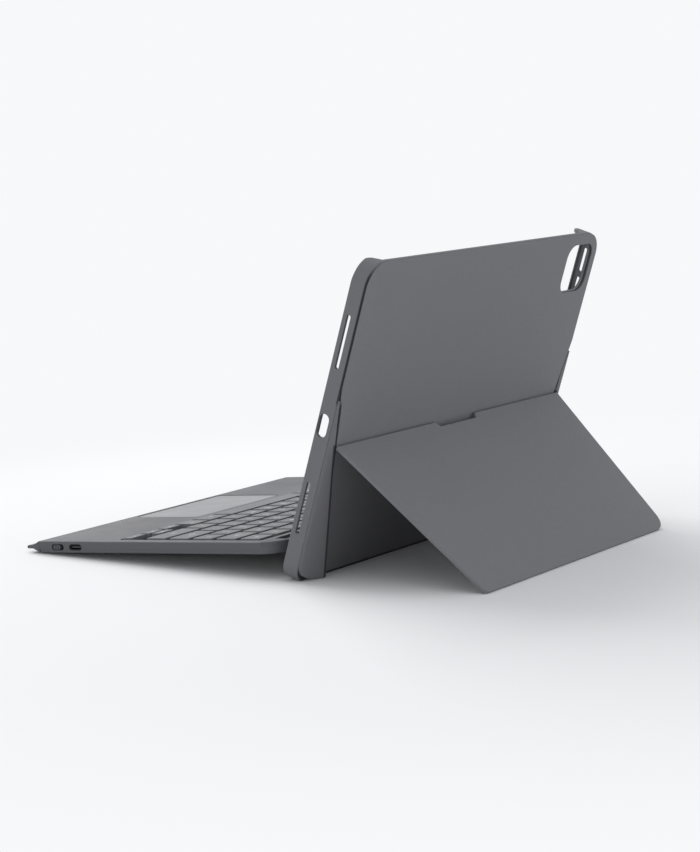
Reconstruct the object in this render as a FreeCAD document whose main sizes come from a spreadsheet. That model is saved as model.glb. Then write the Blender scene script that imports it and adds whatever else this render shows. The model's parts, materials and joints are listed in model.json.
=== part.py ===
import FreeCAD, Part
import math
import os
import Sketcher
from FreeCAD import Placement, Rotation, Vector

doc = FreeCAD.newDocument("tablet_keyboard_case")

# Driving dimensions, in millimetres and degrees
SIZES = {
    # tray, measured up its back (rise) and from its back face towards the tablet (level)
    "tray_width": 252,
    "tray_height": 182.6,
    "tray_depth": 10.74,
    "tray_lean": 17.44,
    "tray_corner": 14,
    "tray_foot_corner": 10,
    "wall": 1.9,
    "panel_thick": 1.1,
    "panel_inset": 0.3,
    "panel_round": 0.6,
    "panel_under_round": 0.45,
    "floor_top": 3.5,
    "lining_thick": 0.5,
    "lip_under": 10.0,
    "lip_over": 1.4,
    "border_height": 9,
    "mouth_corner": 9,
    "foot_drop": 1.345,
    "edge_round": 0.6,
    "back_round": 1.2,
    "hook_right": 14,
    "hook_left": 21,
    "hook_slant": 3,
    "hook_flare": 4,
    # wedge-shaped pads beside the folded leaf, and the groove between them and the panel
    "pad_foot": 3.4,
    "pad_foot_proud": 5.9,
    "pad_foot_corner": 9.5,
    "pad_tip": 104,
    "pad_tip_proud": 0.4,
    "pad_edge_proud": 0.2,
    "taper_foot_half": 105.6,
    "taper_slope": 0.188,
    "groove": 1.2,
    # cut-outs for the tablet
    "camera_across": -105.2,
    "camera_rise": 161.2,
    "camera_side": 30,
    "camera_round": 8,
    "speaker_length": 30,
    "speaker_height": 2.5,
    "speaker_upper": 137.2,
    "speaker_lower": 42.8,
    "port_level": 6.8,
    "port_rise": 90.2,
    "port_length": 13.1,
    "port_height": 6.4,
    "button_rise": 163,
    "button_length": 15,
    # kickstand leaf and its hidden link hinge
    "leaf_length": 109.38,
    "leaf_top_half": 120.3,
    "leaf_foot_half": 104.5,
    "leaf_right_corner": 4.5,
    "leaf_left_corner": 11,
    "leaf_top_corner": 0.7,
    "leaf_start": -0.2,
    "leaf_gap": 0.3,
    "leaf_board": 1.8,
    "leaf_lining": 0.5,
    "lining_inset": 0.8,
    "leaf_open": 65,
    "leaf_top_rise": 79.25,
    "notch_width": 39,
    "notch_depth": 3.4,
    "notch_slant": 2,
    "link_length": 26.6,
    "link_width": 8,
    "link_thick": 1.0,
    "link_across": 11,
    "pivot_proud": 1.0,
    "knuckle": 0.75,
    "pin_radius": 0.4,
    "pin_play": 0.05,
    "lug_outer": 17.8,
    "lug_outer_start": 15.3,
    "lug_inner": 6.7,
    "bracket_top": 0.1,
    "bracket_reach": 7.6,
    "recess_half": 19,
    "recess_above": 5.5,
    "recess_below": 4,
    "recess_skin": 0.55,
    "rivet_across": 11,
    "rivet_drop": 4.6,
    "rivet_head": 1.6,
    "rivet_shank": 0.8,
    "steel_thick": 0.4,
    "steel_width": 190,
    "steel_height": 100,
    "steel_rise": 66,
    "steel_corner": 3,
    "magnet_thick": 0.8,
    "magnet_length": 44,
    "magnet_width": 6,
    "dock_magnet_across": 60,
    "dock_magnet_length": 48,
    # folding strip between tray and keyboard
    "strip_width": 222,
    "root_thick": 0.8,
    "strip_thick": 1.2,
    "strip_core": 0.5,
    "fold_rise": 9.4,
    "fold_clear": 0.3,
    "fold_reach": 0.9,
    "core_inset": 1.2,
    "root_foot": 2,
    # keyboard, measured from its front edge (run) and from its underside (height)
    "keyboard_width": 250,
    "keyboard_depth": 169.4,
    "keyboard_thick": 6.8,
    "keyboard_tilt": 4.64,
    "keyboard_setback": 181.25,
    "parting": 2.2,
    "shell_wall": 1.5,
    "deck_plate": 1.2,
    "base_floor": 1.0,
    "rear_corner": 13,
    "front_corner": 1,
    "rear_step": 2.4,
    "step_run": 159.4,
    "cavity_end": 158,
    "fold_behind": 1.1,
    "lip_reach": 9,
    "lip_nose": 0.95,
    "lip_flare": 4.6,
    "lip_flare_round": 4,
    "foot_thick": 1.0,
    "foot_radius": 5,
    "foot_run": 10,
    # keys
    "key_unit": 16.34,
    "key_gap": 1.7,
    "row_pitch": 16.5,
    "row_start": 56.4,
    "well_width": 237.6,
    "well_start": 55.2,
    "well_end": 155.6,
    "key_foot": 5.1,
    "key_top": 7.4,
    "key_taper": 0.6,
    "key_skirt": 1.0,
    "key_crown": 1.2,
    "key_round": 1.2,
    "plate_foot": 3.4,
    "plate_thick": 0.6,
    "membrane_thick": 0.4,
    "dome_radius": 2.2,
    "dome_height": 0.9,
    # touchpad
    "touchpad_width": 84,
    "touchpad_depth": 46,
    "touchpad_across": -4,
    "touchpad_run": 26.5,
    "touchpad_gap": 0.5,
    "touchpad_thick": 1.3,
    "touchpad_top": 6.6,
    "touchpad_board": 0.8,
    # socket and switch in the right side wall
    "socket_run": 27.65,
    "socket_length": 8.94,
    "socket_height": 3.16,
    "socket_reach": 7.3,
    "switch_run": 14.35,
    "slot_length": 9.2,
    "slot_height": 3.7,
    "slot_level": 3.3,
    "knob_length": 5.4,
    "board_thick": 0.72,
}

sheet = doc.addObject("Spreadsheet::Sheet", "Sizes")
for line, (alias, value) in enumerate(SIZES.items(), start=1):
    sheet.set(f"A{line}", alias.replace("_", " "))
    sheet.set(f"B{line}", str(value))
    sheet.setAlias(f"B{line}", alias)
doc.recompute()


def size(alias):
    return float(sheet.get(alias))


def cell(alias):
    return f"Sizes.{alias}"


# Frames: each group of pieces is drawn flat and then stood up by a turn about X
lean = math.radians(size("tray_lean"))
tilt = math.radians(size("keyboard_tilt"))
open_angle = math.radians(size("leaf_open"))
up_tray = Vector(0, math.sin(lean), math.cos(lean))
out_tray = Vector(0, math.cos(lean), -math.sin(lean))
along_keys = Vector(0, math.cos(tilt), math.sin(tilt))
up_keys = Vector(0, -math.sin(tilt), math.cos(tilt))
leaf_down = out_tray * math.sin(open_angle) - up_tray * math.cos(open_angle)
leaf_out = out_tray * math.cos(open_angle) + up_tray * math.sin(open_angle)

leaf_inner = size("leaf_gap") - size("pivot_proud")
leaf_seat = leaf_inner + size("leaf_lining")
leaf_outer = leaf_seat + size("leaf_board")
slide = 2 * size("link_length")
link_rise = size("leaf_top_rise") - slide * math.cos(open_angle)

tray_base = Vector(0, 0, -size("foot_drop"))
leaf_base = tray_base + up_tray * size("leaf_top_rise") + out_tray * size("pivot_proud")
link_base = tray_base + up_tray * link_rise + out_tray * size("pivot_proud")
keys_base = Vector(0, -size("keyboard_setback"), 0)
keys_base.z = size("foot_thick") * math.cos(tilt) - (size("foot_run") - size("foot_radius")) * math.sin(tilt)

fold_level = size("tray_depth") + size("root_thick") + size("fold_clear") + size("strip_thick") / 2
tray_fold = tray_base + up_tray * size("fold_rise") - out_tray * fold_level
fold_run = size("keyboard_depth") + size("fold_behind")
fold_height = (size("keyboard_thick") - size("rear_step") + size("root_thick") + size("fold_clear")
               + size("strip_thick") / 2)
keys_fold = keys_base + along_keys * fold_run + up_keys * fold_height
strip_vector = keys_fold - tray_fold
strip_angle = math.degrees(math.atan2(strip_vector.z, strip_vector.y))

reach_front = keys_base - along_keys * size("lip_reach")
reach_back = leaf_base + leaf_down * size("leaf_length") + leaf_out * leaf_outer
centring = Vector(0, -(reach_front.y + reach_back.y) / 2, 0)

FRAMES = {
    "tray": (tray_base, 90 - size("tray_lean")),
    "link": (link_base, 90 - size("tray_lean") - size("leaf_open")),
    "leaf": (leaf_base, 270 - size("tray_lean") + size("leaf_open")),
    "strip": (tray_fold, strip_angle),
    "keys": (keys_base, size("keyboard_tilt")),
}

nodes = []


def stand(label, holder, frame):
    """Name a finished piece and stand it in its frame."""
    base, angle = FRAMES[frame]
    holder.Label = label
    holder.Placement = Placement(base + centring, Rotation(Vector(1, 0, 0), angle))
    nodes.append(holder)


def group(label, pieces, frame):
    """Name several like solids as one piece."""
    holder = doc.addObject("Part::Compound", "Group")
    holder.Links = pieces
    stand(label, holder, frame)


def node(label, piece, frame):
    if piece.TypeId == "PartDesign::Body":
        stand(label, piece, frame)
    else:
        group(label, [piece], frame)


# Drawing helpers
def bind(item, **expressions):
    for name, expression in expressions.items():
        item.setExpression(name.replace("__", "."), str(expression))


def box(low, high):
    """A block between two corners, each coordinate a number or a sheet expression."""
    block = doc.addObject("Part::Box", "Block")
    for side, start, end in zip(("Length", "Width", "Height"), low, high):
        block.setExpression(side, f"({end}) - ({start})")
    for letter, start in zip("xyz", low):
        block.setExpression(f"Placement.Base.{letter}", str(start))
    return block


def rod(start, length, radius, axis=Vector(1, 0, 0)):
    """A round bar from a start point along an axis."""
    bar = doc.addObject("Part::Cylinder", "Rod")
    bar.setExpression("Radius", str(radius))
    bar.setExpression("Height", str(length))
    bar.Placement.Rotation = Rotation(Vector(0, 0, 1), axis)
    for letter, place in zip("xyz", start):
        bar.setExpression(f"Placement.Base.{letter}", str(place))
    return bar


def fuse(pieces):
    joined = doc.addObject("Part::MultiFuse", "Joined")
    joined.Shapes = pieces
    joined.Refine = True
    return joined


def cut(base, tools):
    result = doc.addObject("Part::Cut", "Cut")
    result.Base = base
    result.Tool = tools[0] if len(tools) == 1 else fuse(tools)
    return result


def stadium(run, height, length, thick, start, end):
    """A slot-shaped bar along X, centred on a run and a height."""
    half = f"({thick}) / 2"
    reach = f"(({length}) - ({thick})) / 2"
    core = box((start, f"({run}) - {reach}", f"({height}) - {half}"),
               (end, f"({run}) + {reach}", f"({height}) + {half}"))
    ends = [rod((start, f"({run}) {sign} {reach}", height), f"({end}) - ({start})", half) for sign in "+-"]
    return fuse([core] + ends)


def new_body():
    return doc.addObject("PartDesign::Body", "Body")


def new_sketch(body, plane="XY_Plane", level=0, across=0, rise=0):
    """A sketch parallel to one of the body's own planes, moved by sheet expressions."""
    sketch = body.newObject("Sketcher::SketchObject", "Sketch")
    support = next(item for item in body.Origin.OriginFeatures if item.Role == plane)
    sketch.AttachmentSupport = [(support, "")]
    sketch.MapMode = "FlatFace"
    bind(sketch, AttachmentOffset__Base__x=across, AttachmentOffset__Base__y=rise,
         AttachmentOffset__Base__z=level)
    return sketch


def draw_outline(sketch, corners):
    """A closed outline through (x, y, radius) corners, anticlockwise: straight runs and tangent arcs."""
    turns = []
    for index, (x, y, radius) in enumerate(corners):
        here = Vector(x, y)
        back = Vector(*corners[index - 1][:2]) - here
        ahead = Vector(*corners[(index + 1) % len(corners)][:2]) - here
        back.normalize()
        ahead.normalize()
        half = back.getAngle(ahead) / 2
        if radius == 0:
            turns.append((here, None, here))
            continue
        setback = radius / math.tan(half)
        towards = (back + ahead).normalize()
        middle = here + towards * (radius / math.sin(half) - radius)
        start, end = here + back * setback, here + ahead * setback
        turns.append((start, Part.Arc(start, middle, end), end))
    for index, (start, arc, end) in enumerate(turns):
        if arc:
            sketch.addGeometry(arc)
        sketch.addGeometry(Part.LineSegment(end, turns[(index + 1) % len(turns)][0]))
    return sketch


def draw_rectangle(sketch, width, depth, radius):
    """A rounded rectangle centred on the sketch's origin, its sizes bound to sheet expressions."""
    draw_outline(sketch, [(-10, -10, 2), (10, -10, 2), (10, 10, 2), (-10, 10, 2)])
    arcs, lines = (0, 2, 4, 6), (1, 3, 5, 7)
    for arc, line, following in zip(arcs, lines, arcs[1:] + arcs[:1]):
        sketch.addConstraint(Sketcher.Constraint("Tangent", arc, 2, line, 1))
        sketch.addConstraint(Sketcher.Constraint("Tangent", line, 2, following, 1))
        sketch.addConstraint(Sketcher.Constraint("Horizontal" if line in (1, 5) else "Vertical", line))
    for arc in arcs[1:]:
        sketch.addConstraint(Sketcher.Constraint("Equal", arcs[0], arc))
    sketch.addConstraint(Sketcher.Constraint("Symmetric", 0, 3, 4, 3, -1, 1))
    driving = {
        "round": (("Radius", 0, 2), radius),
        "wide": (("DistanceX", 0, 3, 2, 3, 16), f"({width}) - 2 * ({radius})"),
        "deep": (("DistanceY", 2, 3, 4, 3, 16), f"({depth}) - 2 * ({radius})"),
    }
    for name, (rule, expression) in driving.items():
        number = sketch.addConstraint(Sketcher.Constraint(*rule))
        sketch.renameConstraint(number, name)
        sketch.setExpression(f"Constraints.{name}", expression)
    return sketch


def pad(body, sketch, length, reverse=False):
    feature = body.newObject("PartDesign::Pad", "Pad")
    feature.Profile = sketch
    feature.setExpression("Length", str(length))
    feature.Reversed = reverse
    return feature


def pocket(body, sketch, length, reverse=False, both_ways=False):
    feature = body.newObject("PartDesign::Pocket", "Pocket")
    feature.Profile = sketch
    feature.setExpression("Length", str(length))
    feature.Reversed = reverse
    feature.Midplane = both_ways
    return feature


def outside_corner(x, y, across, up, radius):
    """The outline to cut away outside a rounded corner; across and up (each 1 or -1) point into the piece."""
    reach = radius + 1
    return [(x - across, y - up, 0), (x + across * reach, y - up, 0), (x + across * reach, y, 0), (x, y, radius),
            (x, y + up * reach, 0), (x - across, y + up * reach, 0)]


def round_edges(body, radius, chosen):
    """Fillet the edges of the body that the test chooses."""
    doc.recompute()
    base = body.Tip
    names = [f"Edge{index}" for index, edge in enumerate(base.Shape.Edges, start=1) if chosen(edge)]
    feature = body.newObject("PartDesign::Fillet", "Fillet")
    feature.Base = (base, names)
    feature.setExpression("Radius", radius)
    return feature


def at_level(edge, level):
    return all(abs(corner.Z - level) < 1e-6 for corner in edge.Vertexes)


# Tray: moulded bumper
def make_tray_frame():
    body = new_body()
    half_height = f"{cell('tray_height')} / 2"
    half, top, low, high = size("tray_width") / 2, size("tray_height"), size("tray_foot_corner"), size("tray_corner")
    block = draw_outline(new_sketch(body, level=cell("panel_thick")),
                         [(-half, 0, low), (half, 0, low), (half, top, high), (-half, top, high)])
    pad(body, block, f"{cell('tray_depth')} - {cell('panel_thick')}")
    back, front = size("panel_thick"), size("tray_depth")
    round_edges(body, cell("back_round"), lambda edge: at_level(edge, back))
    round_edges(body, cell("edge_round"), lambda edge: at_level(edge, front))
    # the lower back edge is cut level, so that the leaning tray stands on a flat
    along, down = Vector(-math.sin(lean), math.cos(lean)), Vector(-math.cos(lean), -math.sin(lean))
    start = Vector(size("foot_drop") / math.cos(lean), 0) - along
    end = Vector(0, size("foot_drop") / math.sin(lean)) + along
    level_cut = [(point.x, point.y, 0) for point in (start, end, end + down * 6, start + down * 6)]
    pocket(body, draw_outline(new_sketch(body, plane="YZ_Plane"), level_cut), f"{cell('tray_width')} + 2",
           both_ways=True)
    # room for the tablet, and the lip that holds its edge
    slim = f"2 * {cell('wall')}"
    cavity = draw_rectangle(new_sketch(body, level=cell("lip_under"), rise=half_height),
                            f"{cell('tray_width')} - {slim}", f"{cell('tray_height')} - {slim}",
                            f"{cell('tray_corner')} - {cell('wall')}")
    pocket(body, cavity, f"{cell('lip_under')} - {cell('floor_top')}")
    lip = f"{cell('wall')} + {cell('lip_over')}"
    mouth_rise = f"({cell('tray_height')} + {cell('border_height')} - {lip}) / 2"
    mouth = draw_rectangle(new_sketch(body, level=cell("tray_depth"), rise=mouth_rise),
                           f"{cell('tray_width')} - 2 * ({lip})",
                           f"{cell('tray_height')} - {cell('border_height')} - ({lip})", cell("mouth_corner"))
    pocket(body, mouth, f"{cell('tray_depth')} - {cell('lip_under')} + 0.5")
    window = draw_rectangle(new_sketch(body, level=cell("floor_top"), across=cell("camera_across"),
                                       rise=cell("camera_rise")),
                            cell("camera_side"), cell("camera_side"), cell("camera_round"))
    pocket(body, window, cell("floor_top"))
    # the top side is open between two corner hooks with slanted ends
    left = -size("tray_width") / 2 + size("hook_left")
    right = size("tray_width") / 2 - size("hook_right")
    slant, flare, low, high = size("hook_slant"), size("hook_flare"), size("floor_top"), size("tray_depth")
    gap = draw_outline(new_sketch(body, plane="XZ_Plane", level=f"-({cell('tray_height')} + 1)"),
                       [(left, low, 1), (right, low, 1), (right + slant, high - 2, 3),
                        (right + slant + flare, high + 1, 0), (left - slant - flare, high + 1, 0),
                        (left - slant, high - 2, 3)])
    pocket(body, gap, f"{cell('wall')} + {cell('lip_over')} + 3", reverse=True)
    steel_room = draw_rectangle(new_sketch(body, level=cell("panel_thick"), rise=cell("steel_rise")),
                                cell("steel_width"), cell("steel_height"), cell("steel_corner"))
    pocket(body, steel_room, cell("steel_thick"), reverse=True)
    doc.recompute()

    # slots through the side walls: two for sound each side, the charging port, the side button
    outer = f"{cell('tray_width')} / 2 + 1"
    inner = f"{cell('tray_width')} / 2 - {cell('wall')} - 1"
    tools = []
    for near, far in ((inner, outer), (f"-({outer})", f"-({inner})")):
        for rise in ("speaker_upper", "speaker_lower"):
            tools.append(stadium(cell(rise), cell("port_level"), cell("speaker_length"),
                                 cell("speaker_height"), near, far))
    tools.append(stadium(cell("port_rise"), cell("port_level"), cell("port_length"), cell("port_height"),
                         inner, outer))
    tools.append(stadium(cell("button_rise"), cell("port_level"), cell("button_length"),
                         cell("speaker_height"), f"-({outer})", f"-({inner})"))
    return cut(body, tools + [dock_magnet(sign) for sign in "+-"])


def dock_magnet(sign):
    """One bar magnet in the lower wall, which also cuts its own room."""
    across, half = f"{sign} {cell('dock_magnet_across')}", f"{cell('dock_magnet_length')} / 2"
    return box((f"{across} - {half}", "0.5", f"{cell('lip_under')} - 5"),
               (f"{across} + {half}", "1.5", f"{cell('lip_under')} - 1"))


def taper_half(rise):
    """Half the gap between the two side pads at a height up the tray."""
    return size("taper_foot_half") + size("taper_slope") * rise


def make_back_panel():
    body = new_body()
    inset = size("panel_inset")
    half, top = size("tray_width") / 2 - inset, size("tray_height") - inset
    foot, groove, corner = size("pad_foot") - 0.6, size("groove"), size("tray_corner") - inset
    bend = (half + groove - size("taper_foot_half")) / size("taper_slope")
    corners = [(-taper_half(foot) + groove, foot, 2), (taper_half(foot) - groove, foot, 2), (half, bend, 12),
               (half, top, corner), (-half, top, corner), (-half, bend, 12)]
    pad(body, draw_outline(new_sketch(body), corners), cell("panel_thick"))
    round_edges(body, cell("panel_round"), lambda edge: at_level(edge, 0))
    round_edges(body, cell("panel_under_round"), lambda edge: at_level(edge, size("panel_thick")))
    window = draw_rectangle(new_sketch(body, across=cell("camera_across"), rise=cell("camera_rise")),
                            cell("camera_side"), cell("camera_side"), cell("camera_round"))
    pocket(body, window, cell("panel_thick"), reverse=True)
    low, high = bracket_low - 0.4, bracket_high + 0.4
    hatch = draw_rectangle(new_sketch(body, rise=(low + high) / 2), f"2 * {cell('lug_outer')} + 0.8", high - low, "0.5")
    pocket(body, hatch, cell("panel_thick"), reverse=True)
    return body


def make_side_pad(sign):
    """A wedge beside the panel: thick at its inner foot, thin along the tray's side and at its tip."""
    body = new_body()
    outer = size("tray_width") / 2 - size("panel_inset")
    foot, seat, sections = size("pad_foot"), size("panel_thick"), []
    for rise, proud in ((foot, "pad_foot_proud"), (size("pad_tip"), "pad_tip_proud")):
        corners = [(taper_half(rise), seat), (taper_half(rise), -size(proud)), (outer, -size("pad_edge_proud")),
                   (outer, seat)]
        sections.append(draw_outline(new_sketch(body, plane="XZ_Plane", level=-rise),
                                     [(sign * x, z, 0) for x, z in corners]))
    wedge = body.newObject("PartDesign::AdditiveLoft", "Wedge")
    wedge.Profile, wedge.Sections, wedge.Ruled = sections[0], sections[1:], True
    corner = draw_outline(new_sketch(body), outside_corner(sign * outer, foot, -sign, 1, size("pad_foot_corner")))
    pocket(body, corner, "4 * " + cell("pad_foot_proud"), both_ways=True)
    return body


def make_lining():
    body = new_body()
    slim = f"2 * ({cell('wall')} + 0.4)"
    pad(body, draw_rectangle(new_sketch(body, level=cell("floor_top"), rise=f"{cell('tray_height')} / 2"),
                             f"{cell('tray_width')} - {slim}", f"{cell('tray_height')} - {slim}", "11"),
        cell("lining_thick"))
    window = draw_rectangle(new_sketch(body, level=cell("floor_top"), across=cell("camera_across"),
                                       rise=cell("camera_rise")),
                            f"{cell('camera_side')} + 1", f"{cell('camera_side')} + 1", cell("camera_round"))
    pocket(body, window, cell("lining_thick"), reverse=True)
    return body


def make_steel_plate():
    body = new_body()
    pad(body, draw_rectangle(new_sketch(body, level=cell("panel_thick"), rise=cell("steel_rise")),
                             cell("steel_width"), cell("steel_height"), cell("steel_corner")),
        cell("steel_thick"))
    return cut(body, [rivet(sign) for sign in "+-"])


# Hidden hinge: a bracket on the tray, two link arms, a bracket in the leaf
bracket_low, bracket_high = link_rise - size("bracket_reach"), link_rise + 2 * size("knuckle")
link_half = f"{cell('link_width')} / 2"
lugs = [(f"-{cell('lug_inner')}", cell("lug_inner")), (cell("lug_outer_start"), cell("lug_outer")),
        (f"-{cell('lug_outer')}", f"-{cell('lug_outer_start')}")]


def hinge_pin(rise, level):
    return rod((f"-{cell('lug_outer')}", rise, level), f"2 * {cell('lug_outer')}", cell("pin_radius"))


def rivet(sign):
    """A countersunk rivet through the bracket's base and the steel plate."""
    across, rise = f"{sign} {cell('rivet_across')}", f"{link_rise} - {cell('rivet_drop')}"
    head = doc.addObject("Part::Cone", "RivetHead")
    bind(head, Radius1=cell("rivet_head"), Radius2=cell("rivet_shank"), Height=0.6, Placement__Base__x=across,
         Placement__Base__y=rise, Placement__Base__z=cell("bracket_top"))
    shank_end = f"{cell('panel_thick')} + {cell('steel_thick')}"
    shank = rod((across, rise, cell("bracket_top")), f"{shank_end} - {cell('bracket_top')}", cell("rivet_shank"),
                Vector(0, 0, 1))
    return fuse([head, shank])


def make_hinge_bracket():
    """A base let into the panel, with three lugs that stand out and hold the lower pin."""
    base, wide = cell("bracket_top"), cell("lug_outer")
    top = f"-({cell('pivot_proud')} + {cell('knuckle')})"
    blocks = [box((f"-{wide}", bracket_low, base), (wide, bracket_high, cell("panel_thick")))]
    for start, end in lugs:
        blocks.append(box((start, f"{link_rise} - 2 * {cell('knuckle')}", top),
                          (end, f"{link_rise} + {cell('knuckle')}", f"{base} + 0.1")))
    pin = hinge_pin(link_rise, f"-{cell('pivot_proud')}")
    return cut(fuse(blocks), [pin] + [rivet(sign) for sign in "+-"])


def make_link_arm(sign):
    across = f"{sign} * {cell('link_across')}"
    start, end = f"{across} - {link_half}", f"{across} + {link_half}"
    slab, reach = f"{cell('link_thick')} / 2", cell("link_length")
    knuckles = [rod((start, place, 0), cell("link_width"), cell("knuckle")) for place in (0, reach)]
    plate = box((start, 0, f"-{slab}"), (end, reach, slab))
    bore = f"{cell('pin_radius')} + {cell('pin_play')}"
    bores = [rod((f"{start} - 1", place, 0), f"{cell('link_width')} + 2", bore) for place in (0, reach)]
    window = box((f"{across} - 1.6", 6, -2), (f"{across} + 1.6", f"{reach} - 6", 2))
    return cut(fuse([plate] + knuckles), bores + [window])


def make_stand_bracket():
    """A bar across the leaf's recess, with three lugs that hold the upper pin."""
    reach, roof = cell("link_length"), leaf_outer - size("recess_skin")
    bar_end = f"{reach} - 2 * {cell('knuckle')}"
    blocks = [box((f"-{cell('lug_outer')}", f"{reach} - {cell('recess_above')} + 0.2", leaf_inner),
                  (cell("lug_outer"), bar_end, roof))]
    for start, end in lugs:
        blocks.append(box((start, f"{bar_end} - 0.1", leaf_inner), (end, f"{reach} + {cell('knuckle')}", roof)))
    return cut(fuse(blocks), [hinge_pin(reach, 0)])


# Kickstand leaf, drawn from its top edge downwards
def leaf_half(down):
    share = down / size("leaf_length")
    return size("leaf_top_half") + (size("leaf_foot_half") - size("leaf_top_half")) * share


def leaf_corners(inset=0):
    start, end = size("leaf_start") + inset, size("leaf_length") - inset
    notch, floor, slant = size("notch_width") / 2, start + size("notch_depth"), size("notch_slant")
    top = size("leaf_top_corner")
    return [(-leaf_half(start) + inset, start, top), (-notch - slant, start, 0.8), (-notch, floor, 0.8),
            (notch, floor, 0.8), (notch + slant, start, 0.8), (leaf_half(start) - inset, start, top),
            (leaf_half(end) - inset, end, size("leaf_right_corner")),
            (-leaf_half(end) + inset, end, size("leaf_left_corner"))]


def leaf_recess(low):
    """Room in the leaf's inner side for the folded links and both brackets."""
    half, reach = cell("recess_half"), cell("link_length")
    return box((f"-{half}", f"{reach} - {cell('recess_above')}", low),
               (half, f"2 * {reach} + {cell('recess_below')}", leaf_outer - size("recess_skin")))


leaf_magnets = [(-70, 9), (70, 9), (-60, 101), (60, 101)]


def leaf_magnet(across, down):
    half, deep = f"{cell('magnet_length')} / 2", f"{cell('magnet_width')} / 2"
    return box((f"{across} - {half}", f"{down} - {deep}", leaf_seat),
               (f"{across} + {half}", f"{down} + {deep}", f"{leaf_seat} + {cell('magnet_thick')}"))


def make_leaf_board():
    body = new_body()
    pad(body, draw_outline(new_sketch(body, level=leaf_seat), leaf_corners()), cell("leaf_board"))
    round_edges(body, "0.5", lambda edge: at_level(edge, leaf_outer))
    return cut(body, [leaf_recess(leaf_inner - 1)] + [leaf_magnet(*place) for place in leaf_magnets])


def make_leaf_lining():
    body = new_body()
    pad(body, draw_outline(new_sketch(body, level=leaf_inner), leaf_corners(size("lining_inset"))),
        cell("leaf_lining"))
    return cut(body, [leaf_recess(leaf_inner - 1)])


# Folding strip, drawn along the line between its two folds
strip_length = strip_vector.Length


def strip_block(low, high, inset=0):
    half = f"{cell('strip_width')} / 2 - {inset}"
    start, end = size("fold_reach") + inset, strip_length - size("fold_reach") - inset
    return box((f"-({half})", start, low), (half, end, high))


def make_strip():
    half = f"{cell('strip_thick')} / 2"
    core = f"{cell('strip_core')} / 2"
    return cut(strip_block(f"-{half}", half), [strip_block(f"-{core}", core, size("core_inset"))])


def make_strip_core():
    core = f"{cell('strip_core')} / 2"
    return strip_block(f"-{core}", core, size("core_inset"))


def make_strip_root():
    half = f"{cell('strip_width')} / 2"
    return box((f"-{half}", cell("root_foot"), cell("tray_depth")),
               (half, f"{cell('fold_rise')} - 0.6", f"{cell('tray_depth')} + {cell('root_thick')}"))


def make_strip_tail():
    """The strip's other end, glued down on the step at the back of the keyboard."""
    half, step = f"{cell('strip_width')} / 2", f"{cell('keyboard_thick')} - {cell('rear_step')}"
    return box((f"-{half}", f"{cell('step_run')} + 0.3", step),
               (half, f"{cell('keyboard_depth')} - 0.6", f"{step} + {cell('root_thick')}"))


# Keyboard shells
def shell_corners(inset=0, end=None):
    half = size("keyboard_width") / 2 - inset
    front, rear = inset, (size("keyboard_depth") - inset) if end is None else end
    nose = max(size("front_corner") - inset, 1)
    tail = size("rear_corner") - inset if end is None else 2
    return [(-half, front, nose), (half, front, nose), (half, rear, tail), (-half, rear, tail)]


def side_openings():
    wall = f"{cell('keyboard_width')} / 2 - {cell('shell_wall')} - 0.5"
    outside = f"{cell('keyboard_width')} / 2 + 1"
    return [stadium(cell("switch_run"), cell("slot_level"), cell("slot_length"), cell("slot_height"),
                    wall, outside),
            stadium(cell("socket_run"), cell("slot_level"), f"{cell('socket_length')} + 0.5",
                    f"{cell('socket_height')} + 0.5", wall, outside)]


def make_deck():
    body = new_body()
    top = size("keyboard_thick")
    pad(body, draw_outline(new_sketch(body, level=cell("parting")), shell_corners()),
        f"{cell('keyboard_thick')} - {cell('parting')}")
    step = draw_outline(new_sketch(body, level=cell("keyboard_thick")),
                        [(-130, size("step_run"), 0), (130, size("step_run"), 0), (130, 180, 0), (-130, 180, 0)])
    pocket(body, step, cell("rear_step"))
    round_edges(body, "0.9", lambda edge: at_level(edge, top) and edge.CenterOfMass.y < size("step_run") - 1
                and (abs(edge.CenterOfMass.x) > 120))
    hollow = draw_outline(new_sketch(body, level=cell("parting")),
                          shell_corners(size("shell_wall"), size("cavity_end")))
    pocket(body, hollow, f"{cell('keyboard_thick')} - {cell('deck_plate')} - {cell('parting')}", reverse=True)
    well = draw_rectangle(new_sketch(body, level=cell("keyboard_thick"),
                                     rise=f"({cell('well_start')} + {cell('well_end')}) / 2"),
                          cell("well_width"), f"{cell('well_end')} - {cell('well_start')}", "2")
    pocket(body, well, f"{cell('deck_plate')} + 0.5")
    gap = f"2 * {cell('touchpad_gap')}"
    window = draw_rectangle(new_sketch(body, level=cell("keyboard_thick"), across=cell("touchpad_across"),
                                       rise=cell("touchpad_run")),
                            f"{cell('touchpad_width')} + {gap}", f"{cell('touchpad_depth')} + {gap}", "3.5")
    pocket(body, window, f"{cell('deck_plate')} + 0.5")
    return cut(body, side_openings())


rib_places = (-119.5, -60, 0, 60, 119.5)


def make_base():
    body = new_body()
    pad(body, draw_outline(new_sketch(body), shell_corners(0.25)), cell("parting"))
    round_edges(body, "0.9", lambda edge: at_level(edge, 0) and edge.CenterOfMass.y > 1)
    hollow = draw_outline(new_sketch(body, level=cell("parting")),
                          shell_corners(size("shell_wall"), size("cavity_end")))
    pocket(body, hollow, f"{cell('parting')} - {cell('base_floor')}")
    ribs = [box((across - 0.6, "56", f"{cell('base_floor')} - 0.1"),
                (across + 0.6, "155", f"{cell('plate_foot')} - {cell('membrane_thick')}"))
            for across in rib_places]
    return cut(fuse([body] + ribs), side_openings() + [base_screw(*place) for place in screw_places])


screw_places = [(-116, 52), (116, 52), (-80, 163.5), (80, 163.5)]


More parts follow.
